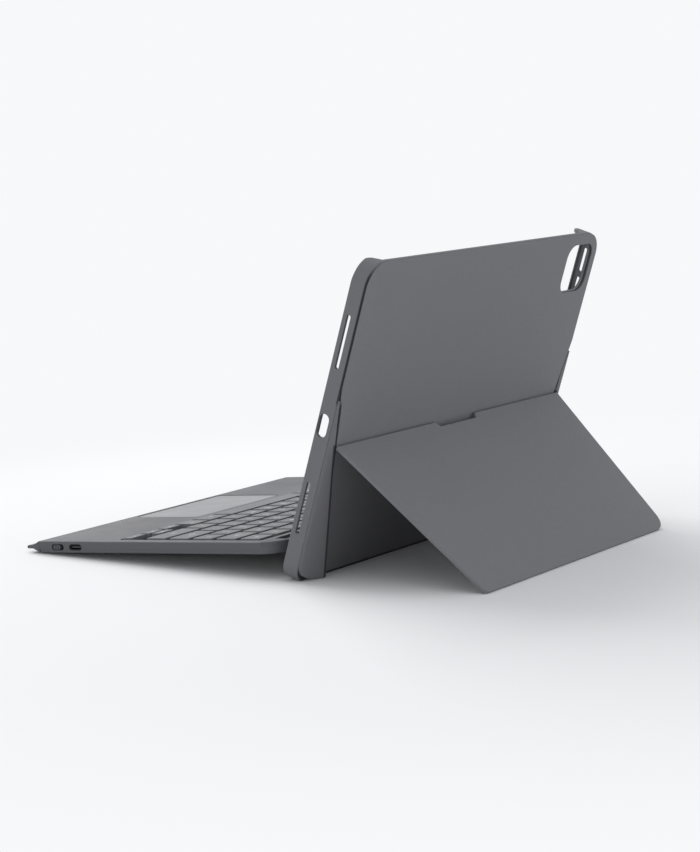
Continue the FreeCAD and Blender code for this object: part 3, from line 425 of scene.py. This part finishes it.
def metal_material(name, colour, rough, scratch):
    material, tree, shader = new_material(name)
    shader.inputs["Metallic"].default_value = 1.0
    stretched = tree.nodes.new("ShaderNodeMapping")
    stretched.inputs["Scale"].default_value = SCRATCH_STRETCH
    tree.links.new(surface_point(tree), stretched.inputs["Vector"])
    lines = noise(tree, stretched.outputs["Vector"], scratch, detail=4.0)
    marks = remap(tree, lines, MARK_FAINT, MARK_FULL)
    scratched = mix_colour(tree, marks, tuple(c * MARK_SHADE for c in colour), colour)
    tree.links.new(scratched, shader.inputs["Base Color"])
    vary_roughness(tree, marks, rough - METAL_ROUGH_BELOW, rough + METAL_ROUGH_ABOVE)
    return material


FINISH["steel"] = metal_material("dull steel", tone(176, 177, 180), 0.42, 6000)
FINISH["magnet"] = metal_material("nickel plate", tone(196, 194, 188), 0.28, 3000)
print(len(FINISH), "finishes")

# %% [markdown]
# ## Dress the modelled pieces
# The record names a finish slot for every piece, so each piece takes the material of its slot, apart from a
# few with a finish of their own: the back panel's covering is painted a little darker as shade and has painted
# shade at its edge, and the plate under the keys and the charging socket are black. The pieces keep their
# exact shape.

# %% Materials onto the pieces
# the back panel's own finish carries painted shade
OWN_FINISH = {"back_panel": "panel", "key_support_plate": "plate", "usb_socket": "plate"}
slot_of = {entry["node"]: entry["material_slot"] for entry in frame["record"]["subparts"]}
for name, piece in nodes.items():
    piece.data.materials.clear()
    piece.data.materials.append(FINISH[OWN_FINISH.get(name, slot_of[name])])
print("dressed", len(nodes), "pieces")

# %% [markdown]
# ## Soft pieces
# The model holds plain solids where the real case has soft ones. They are replaced here by pieces drawn from
# outlines and cross-sections, in the millimetres of the local frame that they belong to. Cloth simulation
# suits loose fabric. Here the foam is firm and the sheets are glued down flat, so cross-sections give the
# shape exactly, and give the same shape on every run.


# %% Rounded outlines
def rounded_outline(corners, steps=8):
    """Points round a closed outline with corners (x, y, radius)."""
    points = []
    for index, (x, y, radius) in enumerate(corners):
        here = Vector((x, y))
        back = (Vector(corners[index - 1][:2]) - here).normalized()
        ahead = (Vector(corners[(index + 1) % len(corners)][:2]) - here).normalized()
        half = back.angle(ahead) / 2
        centre = here + (back + ahead).normalized() * (radius / math.sin(half))
        first = here + back * (radius / math.tan(half)) - centre
        last = here + ahead * (radius / math.tan(half)) - centre
        for step in range(steps + 1):
            points.append(centre + first.lerp(last, step / steps).normalized() * radius)
    return points


def outline_area(points):
    pairs = zip(points, points[1:] + points[:1])
    return abs(sum(a.x * b.y - b.x * a.y for a, b in pairs)) / 2


# %% Pieces from meshes and curves
def new_piece(name, mesh, materials):
    for material in materials:
        mesh.materials.append(material)
    piece = bpy.data.objects.new(name, mesh)
    bpy.context.collection.objects.link(piece)
    return piece


def mesh_from_curve(curve):
    """The mesh that Blender makes of a drawn curve or text."""
    drawing = bpy.data.objects.new("drawing", curve)
    bpy.context.collection.objects.link(drawing)
    mesh = bpy.data.meshes.new_from_object(drawing.evaluated_get(bpy.context.evaluated_depsgraph_get()))
    bpy.data.objects.remove(drawing)
    return mesh


# %% Skin over cross-sections
CREASE = math.radians(50)


def skin(name, rings, local, materials, edge_columns=(), edge_bands=0):
    """A closed skin over rings of local points.

    In the first bands, the edge columns take the second material.
    """
    work = bmesh.new()
    loops = [[work.verts.new(local @ Vector(point)) for point in ring] for ring in rings]
    count = len(loops[0])
    for band, (below, above) in enumerate(zip(loops, loops[1:])):
        for column in range(count):
            following = (column + 1) % count
            face = work.faces.new((below[column], below[following], above[following], above[column]))
            face.material_index = 1 if band < edge_bands and column in edge_columns else 0
    work.faces.new(reversed(loops[0]))
    work.faces.new(loops[-1])
    bmesh.ops.recalc_face_normals(work, faces=work.faces)
    for face in work.faces:
        face.smooth = True
    for edge in work.edges:
        edge.smooth = edge.calc_face_angle(0) < CREASE
    mesh = bpy.data.meshes.new(name)
    work.to_mesh(mesh)
    work.free()
    return new_piece(name, mesh, materials)


# %% [markdown]
# ### Wedge pads
# A covered foam wedge stands each side of the folded leaf. It is thickest at its inner foot and runs out to
# nothing towards the tray's side and at its tip. The foam crowns the covering a little, and the covering turns
# down softly at the edges. Its covering is painted darker than the leaf's, as shade. As far up as the leaf
# reaches, a narrow band at its inner edge takes dark plastic as painted shade, where the groove beside it is
# in shade. Above that, the left pad closes on the edge of the panel. A bevelled wedge would be too even, so
# the pad is a skin over many cross-sections, each worked out from its height up the tray.

# %% Cross-section of a pad
PAD_FOOT, PAD_LEVEL, PAD_TIP, PAD_OUTER, PAD_SEAT = 3.4, 93.0, 106.4, 125.7, 1.1
PAD_FOOT_PROUD, PAD_TIP_PROUD, PAD_EDGE_PROUD, PAD_CORNER = 5.9, 0.1, 0.2, 9.5
PAD_CROWN, CROWN_WIDTH, CROWN_RISE = 0.35, 12, 6
PAD_TURN, TURN_SHARE, LEAST_PROUD = 0.8, 0.5, 0.05
# a narrow band at the pad's inner edge, up to the leaf's top, is painted as shade with dark plastic
SHADE_BAND_WIDTH, SHADE_BAND_SHARE, SHADE_BAND_STEP, SHADE_BAND_END = 1.9, 0.5, 0.25, 79
CLOSE_FROM, CLOSE_TO, TIP_CLOSE = 83.5, 89, {1: 0.0, -1: 0.95}
FACE_STEPS = 16


def pad_ring(side, rise):
    """Cross-section of a pad at a height up the tray, from its inner wall over the face to its outer wall."""
    closing = min(max((rise - CLOSE_FROM) / (CLOSE_TO - CLOSE_FROM), 0), 1)
    inner = TAPER_FOOT + TAPER_SLOPE * rise - TIP_CLOSE[side] * closing
    up = rise - PAD_FOOT
    outer = PAD_OUTER
    if up < PAD_CORNER:
        outer += math.sqrt(PAD_CORNER ** 2 - (PAD_CORNER - up) ** 2) - PAD_CORNER
    proud = PAD_FOOT_PROUD + (PAD_TIP_PROUD - PAD_FOOT_PROUD) * min(up / (PAD_LEVEL - PAD_FOOT), 1)
    slope = (proud - min(PAD_EDGE_PROUD, proud)) / (PAD_OUTER - inner)
    width = outer - inner
    # the band at the inner edge that carries the painted shade
    shade_band = min(SHADE_BAND_WIDTH, SHADE_BAND_SHARE * width)
    across = [0.0, shade_band * SHADE_BAND_STEP, shade_band]
    across += [shade_band + (width - shade_band) * step / FACE_STEPS for step in range(1, FACE_STEPS + 1)]
    ring = [(inner, PAD_SEAT)]
    for step in across:
        turned = min(step, width - step, up, PAD_TURN)
        drop = PAD_TURN - math.sqrt(PAD_TURN ** 2 - (PAD_TURN - turned) ** 2)
        crown = PAD_CROWN * math.sin(math.pi * step / width)
        crown *= min(1, width / CROWN_WIDTH) * min(1, up / CROWN_RISE)
        height = max(proud - slope * step + crown - min(drop, TURN_SHARE * proud), LEAST_PROUD)
        ring.append((inner + step, -height))
    ring.append((outer, PAD_SEAT))
    return [(side * x, rise, level) for x, level in ring]


# %% Both pads
FOOT_LIFTS = (0, 0.1, 0.3, 0.55, 0.8, 1.3, 2, 3, 4.2, 5.6, 7.2, 9, 11, 13.5)
EVEN_FROM, EVEN_STEPS, SHADE_BAND_COLUMNS = 17, 24, (0, 1, 2)


def make_pad(node_name, side):
    even = PAD_FOOT + EVEN_FROM
    rises = [PAD_FOOT + lift for lift in FOOT_LIFTS]
    rises += [even + (PAD_TIP - even) * step / EVEN_STEPS for step in range(EVEN_STEPS + 1)]
    # up to the leaf's top, the inner edge columns take dark plastic as painted shade
    shaded_bands = sum(rise < SHADE_BAND_END for rise in rises)
    pad = skin("covered_" + node_name, [pad_ring(side, rise) for rise in rises], TRAY,
               [FINISH["pad"], FINISH["core"]], edge_columns=SHADE_BAND_COLUMNS, edge_bands=shaded_bands)
    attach(pad, "tray")
    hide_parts(node_name)
    print(pad.name, "has", len(rises), "cross-sections")


make_pad("side_pad_right", 1)
make_pad("side_pad_left", -1)

# %% [markdown]
# ### Folding strip
# One strip of soft covering joins the tray to the keyboard: it is glued to the tray's lower border, spans
# the gap round a stiff core, and is glued down behind the keys. It bends at both ends, so it is made in two
# halves that meet in the middle of the span. Each half crosses one fold and bends smoothly with it. A bone
# chain could bend one long strip, but two short blends are simpler and hold the glued ends still.

# %% Runs and bends
CURVE_PULL, BEND_POINTS = 0.45, 10


def curve_between(start, start_way, end, end_way):
    """Points on a smooth curve that leaves and arrives along the given directions."""
    pull = (end - start).length * CURVE_PULL
    return interpolate_bezier(start, start + start_way * pull, end - end_way * pull, end, BEND_POINTS)


def between(first, last, steps, chosen):
    """The chosen ones of the points that part a straight run into equal steps."""
    return [first.lerp(last, step / steps) for step in chosen]


def ramp(first, last):
    """Thicknesses along a bend."""
    return [first + (last - first) * step / (BEND_POINTS - 1) for step in range(BEND_POINTS)]


# %% One half of the strip
STRIP_HALF, EDGE_ROUND, EDGE_THIN = 111.0, 0.4 * MM, 0.6


def strip_half(name, path, thicknesses, replaced):
    """A strip along a path in the middle plane, made as one sheet in place of the replaced pieces."""
    sections = []
    edge = STRIP_HALF * MM
    flat = edge - EDGE_ROUND
    for index, point in enumerate(path):
        way = (path[min(index + 1, len(path) - 1)] - path[max(index - 1, 0)]).normalized()
        out = Vector((0, -way.z, way.y)) * thicknesses[index] * MM / 2
        soft = out * EDGE_THIN
        section = [(-flat, out), (flat, out), (edge, soft), (edge, -soft),
                   (flat, -out), (-flat, -out), (-edge, -soft), (-edge, soft)]
        sections.append([(x, *(point + lift).yz) for x, lift in section])
    piece = skin(name, sections, Matrix.Identity(4), [FINISH["strip"]])
    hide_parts(*replaced)
    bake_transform(piece)


# %% Folds and glued ends
FOLD_REACH = 1.5
GLUE_LOW, GLUE_HIGH, GLUE_LEVEL = 2.1, 6.8, 11.15
TAIL_REAR, TAIL_FRONT, TAIL_LEVEL = 167.6, 160.0, 4.82
tray_fold, keys_fold = joint_place["strip_fold"], joint_place["keyboard_fold"]
span_way = (keys_fold - tray_fold).normalized()
span_middle = (tray_fold + keys_fold) / 2
span_start, span_end = tray_fold + span_way * FOLD_REACH * MM, keys_fold - span_way * FOLD_REACH * MM
tray_up = (TRAY.to_3x3() @ Vector((0, 1, 0))).normalized()
keys_forward = (KEYBOARD.to_3x3() @ Vector((0, -1, 0))).normalized()
glued_low, glued_high = (TRAY @ Vector((0, rise, GLUE_LEVEL)) for rise in (GLUE_LOW, GLUE_HIGH))
tail_start, tail_end = (KEYBOARD @ Vector((0, run, TAIL_LEVEL)) for run in (TAIL_REAR, TAIL_FRONT))
print(f"the folds are {(keys_fold - tray_fold).length / MM:.1f} mm apart")

# %% Both halves
GLUED_THICK, SPAN_THICK, GLUE_STEPS, SPAN_STEPS = 0.8, 1.2, 4, 3
lower = between(glued_low, glued_high, GLUE_STEPS, range(GLUE_STEPS))
lower += curve_between(glued_high, tray_up, span_start, span_way)
lower += between(span_start, span_middle, SPAN_STEPS, range(1, SPAN_STEPS + 1))
lower_thick = [GLUED_THICK] * GLUE_STEPS + ramp(GLUED_THICK, SPAN_THICK) + [SPAN_THICK] * SPAN_STEPS
strip_half("folding_strip_tray_end", lower, lower_thick, ["strip_root", "hinge_strip"])

upper = between(span_middle, span_end, SPAN_STEPS, range(SPAN_STEPS))
upper += curve_between(span_end, span_way, tail_start, keys_forward)
upper += between(tail_start, tail_end, GLUE_STEPS, range(1, GLUE_STEPS + 1))
upper_thick = [SPAN_THICK] * SPAN_STEPS + ramp(SPAN_THICK, GLUED_THICK) + [GLUED_THICK] * GLUE_STEPS
strip_half("folding_strip_keyboard_end", upper, upper_thick, ["strip_tail"])

# %% [markdown]
# ### Strip shoulders
# Beside the strip, the covering fills the shallow step behind the keys and wraps the rounded rear corners of
# the keyboard, so that the top runs on smoothly to the strip. The strip's glued end lies between the two
# shoulders. Each one is a low block that follows the corner, with its upper edge turned over. A bevel would
# also round the edge that meets the keyboard's top, so the turned edge is drawn ring by ring.

# %% Strip shoulders
SHOULDER_INNER, SHOULDER_FRONT, SHOULDER_SIDE, SHOULDER_REAR = 111.4, 159.2, 124.8, 169.3
STEP_LEVEL, DECK_LEVEL, SHOULDER_CORNER, SHOULDER_TURN = 4.4, 6.75, 12.9, 0.9
CORNER_STEPS, TURN_STEPS, LEAST_REAR = 12, 4, 0.05


def shoulder_ring(side, level, inset):
    """The shoulder's outline at one level: along the step, round the corner, and back beside the strip."""
    radius = SHOULDER_CORNER - inset
    centre = Vector((SHOULDER_SIDE - SHOULDER_CORNER, SHOULDER_REAR - SHOULDER_CORNER))
    first = math.asin((SHOULDER_FRONT - centre.y) / radius)
    inner = min(SHOULDER_INNER + inset, centre.x - LEAST_REAR)
    points = [(inner, SHOULDER_FRONT)]
    for step in range(CORNER_STEPS + 1):
        turn = first + (math.pi / 2 - first) * step / CORNER_STEPS
        points.append((centre.x + radius * math.cos(turn), centre.y + radius * math.sin(turn)))
    points.append((inner, centre.y + radius))
    return [(side * across, along, level) for across, along in points]


def make_shoulder(name, side):
    rings = [shoulder_ring(side, STEP_LEVEL, 0)]
    for step in range(TURN_STEPS + 1):
        turn = math.pi / 2 * step / TURN_STEPS
        rings.append(shoulder_ring(side, DECK_LEVEL - SHOULDER_TURN * (1 - math.sin(turn)),
                                   SHOULDER_TURN * (1 - math.cos(turn))))
    shoulder = skin(name, rings, KEYBOARD, [FINISH["strip"]])
    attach(shoulder, "keyboard")
    print(name, "has", len(rings), "rings")


make_shoulder("strip_shoulder_right", 1)
make_shoulder("strip_shoulder_left", -1)

# %% [markdown]
# ### Linings
# The floor of the pocket and the inner side of the leaf are lined with a short-pile sheet. A flat curve with
# its openings gives the cut; a small bevel rounds the cut edge. Cutting the openings out of a plate with
# booleans would work too, but leaves long thin faces. The pile itself is far too short to model as hair.

# %% Lining sheets
LINING_THICK, LINING_BEVEL, BEVEL_STEPS = 0.5, 0.15, 2


def lining_sheet(node_name, local, body, outlines, level):
    curve = bpy.data.curves.new("soft_" + node_name, "CURVE")
    curve.dimensions, curve.fill_mode = "2D", "BOTH"
    curve.bevel_depth, curve.bevel_resolution = LINING_BEVEL, BEVEL_STEPS
    curve.offset, curve.extrude = -LINING_BEVEL, LINING_THICK / 2 - LINING_BEVEL
    for points in outlines:
        spline = curve.splines.new("POLY")
        spline.points.add(len(points) - 1)
        spline.use_cyclic_u = True
        for target, point in zip(spline.points, points):
            target.co = (point.x, point.y, 0, 1)
    mesh = mesh_from_curve(curve)
    mesh.transform(local @ Matrix.Translation((0, 0, level + LINING_THICK / 2)))
    piece = new_piece("soft_" + node_name, mesh, [FINISH["lining"]])
    area = outline_area(outlines[0]) - sum(outline_area(points) for points in outlines[1:])
    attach(piece, body)
    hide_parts(node_name)
    print(f"{node_name} covers {area / 100:.0f} square cm")


def rectangle(left, right, low, high, radius):
    return [(left, low, radius), (right, low, radius), (right, high, radius), (left, high, radius)]


# %% Lining of the pocket
POCKET_LEVEL, POCKET_FLAT = 3.5, (0.2474, 0.178)
pocket_cut = rounded_outline(rectangle(-123.7, 123.7, 2.3, 180.3, 11))
window_cut = rounded_outline(rectangle(-120.7, -89.7, 145.7, 176.7, 8))
lining_sheet("pocket_lining", TRAY, "tray", [pocket_cut, window_cut], POCKET_LEVEL)

# %% Lining of the leaf
LEAF_OPEN, LINK_LENGTH = math.radians(65), 26.6
LEAF_TOP_HALF, LEAF_FOOT_HALF, LEAF_LENGTH = 120.3, 104.5, 109.38
LINING_TOP, LINING_FOOT, LINING_INSET = 0.6, 108.58, 0.8
NOTCH_MOUTH, NOTCH_HALF, NOTCH_DEPTH, NOTCH_ROUND = 21.5, 19.5, 3.4, 0.8
TOP_ROUND, NEAR_FOOT_ROUND, FAR_FOOT_ROUND = 0.7, 4.5, 11
HINGE_HALF, HINGE_ABOVE, HINGE_BELOW, HINGE_ROUND = 19, 5.5, 4, 0.3
LEAF_LEVEL, LEAF_FLAT = -0.7, (0.2388, 0.108)
LEAF = standing_frame(math.radians(270) - TRAY_LEAN + LEAF_OPEN, Vector((0, LINK_LENGTH, 0)),
                      joint_place["stand_pivot"])


def leaf_half(down):
    return LEAF_TOP_HALF + (LEAF_FOOT_HALF - LEAF_TOP_HALF) * down / LEAF_LENGTH - LINING_INSET


notch_floor = LINING_TOP + NOTCH_DEPTH
leaf_cut = rounded_outline([
    (-leaf_half(LINING_TOP), LINING_TOP, TOP_ROUND),
    (-NOTCH_MOUTH, LINING_TOP, NOTCH_ROUND), (-NOTCH_HALF, notch_floor, NOTCH_ROUND),
    (NOTCH_HALF, notch_floor, NOTCH_ROUND), (NOTCH_MOUTH, LINING_TOP, NOTCH_ROUND),
    (leaf_half(LINING_TOP), LINING_TOP, TOP_ROUND),
    (leaf_half(LINING_FOOT), LINING_FOOT, NEAR_FOOT_ROUND),
    (-leaf_half(LINING_FOOT), LINING_FOOT, FAR_FOOT_ROUND)])
hinge_cut = rounded_outline(rectangle(-HINGE_HALF, HINGE_HALF, LINK_LENGTH - HINGE_ABOVE,
                                      2 * LINK_LENGTH + HINGE_BELOW, HINGE_ROUND), steps=2)
lining_sheet("kickstand_lining", LEAF, "kickstand", [leaf_cut, hinge_cut], LEAF_LEVEL)

# %% [markdown]
# ### Key legends
# The legends are plain letters, digits, words and arrowheads, printed flat on the key tops. Each row's print
# goes with its keys. A plan lists every row from the typist's left, with each key's width in key units, and
# so places every legend. An image could carry the print, but text made into thin meshes stays crisp.

# %% Plan of the keys
KEY_UNIT, ROW_PITCH, ROW_START, KEY_GAP, PLAN_LEFT = 16.34, 16.5, 56.4, 1.7, -7.25
FUNCTION_WIDTH = 1.0357
ROWS = [
    [("fn", 1), ("ctrl", 1), ("alt", 1), ("sys", 1.25), ("", 5), ("sys", 1.25), ("alt", 1)],
    [("shift", 2.25)] + [(letter, 1) for letter in "ZXCVBNM,./"] + [("shift", 2.25)],
    [("caps", 1.75)] + [(letter, 1) for letter in "ASDFGHJKL;'"] + [("enter", 1.75)],
    [("tab", 1.5)] + [(letter, 1) for letter in "QWERTYUIOP[]\\"],
    [(letter, 1) for letter in "`1234567890-="] + [("back", 1.5)],
    [(word, FUNCTION_WIDTH) for word in ["esc"] + [f"F{number}" for number in range(1, 13)] + ["del"]],
]
ROW_NODES = ["keys_modifier_row", "keys_lower_letter_row", "keys_home_row", "keys_upper_letter_row",
             "keys_number_row", "keys_function_row"]
WIDE_KEYS = {(1, 0): "key_shift_left", (1, 11): "key_shift_right", (2, 0): "key_caps", (2, 12): "key_enter",
             (3, 0): "key_tab", (4, 13): "key_backspace"}
# key units from the middle, share of a key's depth from the middle of the row, and turn of the arrowhead
ARROWS = {"key_arrow_left": (4.75, -0.25, 180), "key_arrow_down": (5.75, -0.25, 270),
          "key_arrow_up": (5.75, 0.25, 90), "key_arrow_right": (6.75, -0.25, 0)}

# %% Text and arrowheads
PRINT_LEVEL, PRINT_THICK, PRINT_SMOOTH = 7.405, 0.01, 3
LETTER_HEIGHT, WORD_HEIGHT = 5.2, 3.1
ARROWHEAD = ((1.1, 0, 0), (-0.8, 1.1, 0), (-0.8, -1.1, 0))


def text_mesh(words):
    curve = bpy.data.curves.new("legend", "FONT")
    curve.body, curve.resolution_u = words, PRINT_SMOOTH
    curve.size = LETTER_HEIGHT if len(words) == 1 else WORD_HEIGHT
    curve.align_x, curve.align_y, curve.extrude = "CENTER", "CENTER", PRINT_THICK / 2
    return mesh_from_curve(curve)


def arrowhead_mesh(turn):
    turned = Matrix.Rotation(math.radians(turn), 3, "Z")
    mesh = bpy.data.meshes.new("arrowhead")
    mesh.from_pydata([(turned @ Vector(point))[:] for point in ARROWHEAD], [], [(0, 1, 2)])
    return mesh


# %% Print the legends
prints = {}


def row_middle(number):
    return ROW_START + ROW_PITCH * (number + 0.5) - KEY_GAP / 2


def print_legend(node_name, mesh, across, run):
    work = prints.setdefault(node_name, bmesh.new())
    mesh.transform(KEYBOARD @ Matrix.Translation((across, run, PRINT_LEVEL)))
    work.from_mesh(mesh)
    bpy.data.meshes.remove(mesh)


for number, row in enumerate(ROWS):
    place = PLAN_LEFT
    for index, (words, width) in enumerate(row):
        if words:
            node_name = WIDE_KEYS.get((number, index), ROW_NODES[number])
            print_legend(node_name, text_mesh(words), (place + width / 2) * KEY_UNIT, row_middle(number))
        place += width
for node_name, (across, share, turn) in ARROWS.items():
    run = row_middle(0) + share * (ROW_PITCH - KEY_GAP)
    print_legend(node_name, arrowhead_mesh(turn), across * KEY_UNIT, run)
for node_name, work in prints.items():
    mesh = bpy.data.meshes.new("legend_" + node_name)
    work.to_mesh(mesh)
    work.free()
    legend = new_piece("legend_" + node_name, mesh, [FINISH["print"]])
    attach(legend, node_name)
print(len(prints), "printed pieces")

# %% [markdown]
# ### Soft edges
# Moulded keys have no knife edges. A weld joins the facets of the model and a small bevel rounds the edges;
# both are modifiers, so the model's own shape stays as it is.

# %% Bevelled keys
SOFT_SLOTS = ("keycap", "touch", "knob")
WELD_REACH, EDGE_WIDTH, EDGE_SEGMENTS, EDGE_ANGLE = 0.00001, 0.0003, 3, math.radians(28)
for name, piece in nodes.items():
    if slot_of[name] in SOFT_SLOTS:
        weld = piece.modifiers.new("join facets", "WELD")
        weld.merge_threshold = WELD_REACH
        bevel = piece.modifiers.new("soft edges", "BEVEL")
        bevel.width, bevel.segments, bevel.limit_method = EDGE_WIDTH, EDGE_SEGMENTS, "ANGLE"
        bevel.angle_limit = EDGE_ANGLE
        bevel.harden_normals = True
print("softened", sum(slot_of[name] in SOFT_SLOTS for name in nodes), "pieces")

# %% [markdown]
# ## Studio
# The photograph is a product shot: nearly white all round, with broad soft light and a weak shadow behind
# the case. A large softbox stands high in front of the keyboard, on the typist's left, and two weak low lamps
# lift the back and the near side. A pale floor takes the shadow, and fades to the plain background away from
# the case. The lamps stay at a level where a colour renders about as it is written.

# %% Floor that fades into the background
BACKDROP, FLOOR_COLOUR = (0.93, 0.94, 0.956, 1), (0.93, 0.93, 0.935, 1)
FLOOR_ROUGH, FLOOR_SPECULAR, FLOOR_HALF = 0.9, 0.1, 6.0
FLOOR_CENTRE, FADE_FROM, FADE_TO = (0, 0.1, 0), 0.26, 0.56


def seen_in_picture(tree):
    """One for rays that show a surface in the picture, zero for rays that only light other surfaces."""
    path = tree.nodes.new("ShaderNodeLightPath").outputs
    mirrored = larger(tree, path["Is Glossy Ray"], path["Is Transmission Ray"])
    return larger(tree, path["Is Camera Ray"], mirrored)


def mix_to_output(tree, factor, first, second, output):
    blend = tree.nodes.new("ShaderNodeMixShader")
    for socket, source in zip(blend.inputs, (factor, first.outputs[0], second.outputs[0])):
        tree.links.new(source, socket)
    tree.links.new(blend.outputs[0], tree.nodes[output].inputs["Surface"])


def make_floor():
    corners = [(x * FLOOR_HALF, y * FLOOR_HALF, 0) for x, y in ((-1, -1), (1, -1), (1, 1), (-1, 1))]
    mesh = bpy.data.meshes.new("studio_floor")
    mesh.from_pydata(corners, [], [(0, 1, 2, 3)])
    material, tree, shader = new_material("studio floor")
    shader.inputs["Base Color"].default_value = FLOOR_COLOUR
    shader.inputs["Roughness"].default_value = FLOOR_ROUGH
    shader.inputs["Specular IOR Level"].default_value = FLOOR_SPECULAR
    glow = tree.nodes.new("ShaderNodeEmission")
    glow.inputs["Color"].default_value = BACKDROP
    distance = tree.nodes.new("ShaderNodeVectorMath")
    distance.operation = "DISTANCE"
    tree.links.new(surface_point(tree), distance.inputs[0])
    distance.inputs[1].default_value = FLOOR_CENTRE
    far = remap(tree, distance.outputs["Value"], FADE_FROM, FADE_TO)
    mix_to_output(tree, product(tree, far, seen_in_picture(tree)), shader, glow, "Material Output")
    new_piece("studio_floor", mesh, [material])


make_floor()
print(f"floor fades out between {FADE_FROM} and {FADE_TO} m from its centre")

# %% World and lamps
SKY_COLOUR, SKY_STRENGTH = (0.95, 0.97, 1.0, 1), 0.6
# place, target, width, height and watts
LAMPS = {
    "key_softbox": ((-0.55, -1.5, 1.35), (0, 0, 0.05), 1.8, 1.4, 30),
    "low_fill": ((0.1, 1.9, 0.4), (0, 0, 0.08), 1.2, 0.6, 7),
    "near_fill": ((1.6, 0.3, 0.28), (0, 0, 0.06), 1.0, 0.4, 3),
}


def make_world():
    world = bpy.data.worlds.new("studio")
    bpy.context.scene.world = world
    world.use_nodes = True
    tree = world.node_tree
    soft = tree.nodes["Background"]
    soft.inputs["Color"].default_value = SKY_COLOUR
    soft.inputs["Strength"].default_value = SKY_STRENGTH
    plain = tree.nodes.new("ShaderNodeBackground")
    plain.inputs["Color"].default_value = BACKDROP
    mix_to_output(tree, seen_in_picture(tree), soft, plain, "World Output")


def area_lamp(name, place, target, width, height, watts):
    lamp = bpy.data.lights.new(name, "AREA")
    lamp.shape, lamp.size, lamp.size_y, lamp.energy = "RECTANGLE", width, height, watts
    holder = bpy.data.objects.new(name, lamp)
    holder.location = place
    holder.rotation_euler = (Vector(target) - Vector(place)).to_track_quat("-Z", "Y").to_euler()
    bpy.context.collection.objects.link(holder)


make_world()
for name, values in LAMPS.items():
    area_lamp(name, *values)
print("lamps:", ", ".join(LAMPS))

# %% [markdown]
# ## Camera
# The camera was solved from the straight edges of the tray, leaf and keyboard in the photograph: a long lens,
# a little above the table, behind and to the right of the case, with a slight roll.

# %% Camera at the photograph's view
AZIMUTH, ELEVATION, ROLL = math.radians(123.83), math.radians(8.12), math.radians(-1.45)
DISTANCE, SHIFT_RIGHT, SHIFT_UP = 1.39021, -0.04032, 0.068
FOCAL_PIXELS, PICTURE_HEIGHT, SENSOR = 2396.83, 852, 36.0


def make_camera():
    back = Vector((math.sin(AZIMUTH) * math.cos(ELEVATION), -math.cos(AZIMUTH) * math.cos(ELEVATION),
                   math.sin(ELEVATION)))
    level = (-back).cross(Vector((0, 0, 1))).normalized()
    upright = level.cross(-back)
    right = level * math.cos(ROLL) + upright * math.sin(ROLL)
    up = upright * math.cos(ROLL) - level * math.sin(ROLL)
    camera = bpy.data.cameras.new("photograph_view")
    camera.sensor_width, camera.lens = SENSOR, FOCAL_PIXELS * SENSOR / PICTURE_HEIGHT
    holder = bpy.data.objects.new("photograph_view", camera)
    turn = Matrix((right, up, back)).transposed().to_4x4()
    place = Vector((0, TRAY.translation.y, 0)) + back * DISTANCE + right * SHIFT_RIGHT + up * SHIFT_UP
    holder.matrix_world = Matrix.Translation(place) @ turn
    bpy.context.collection.objects.link(holder)
    bpy.context.scene.camera = holder
    print(f"camera with a {camera.lens:.0f} mm lens")


make_camera()
bpy.context.scene.view_settings.view_transform = "Standard"
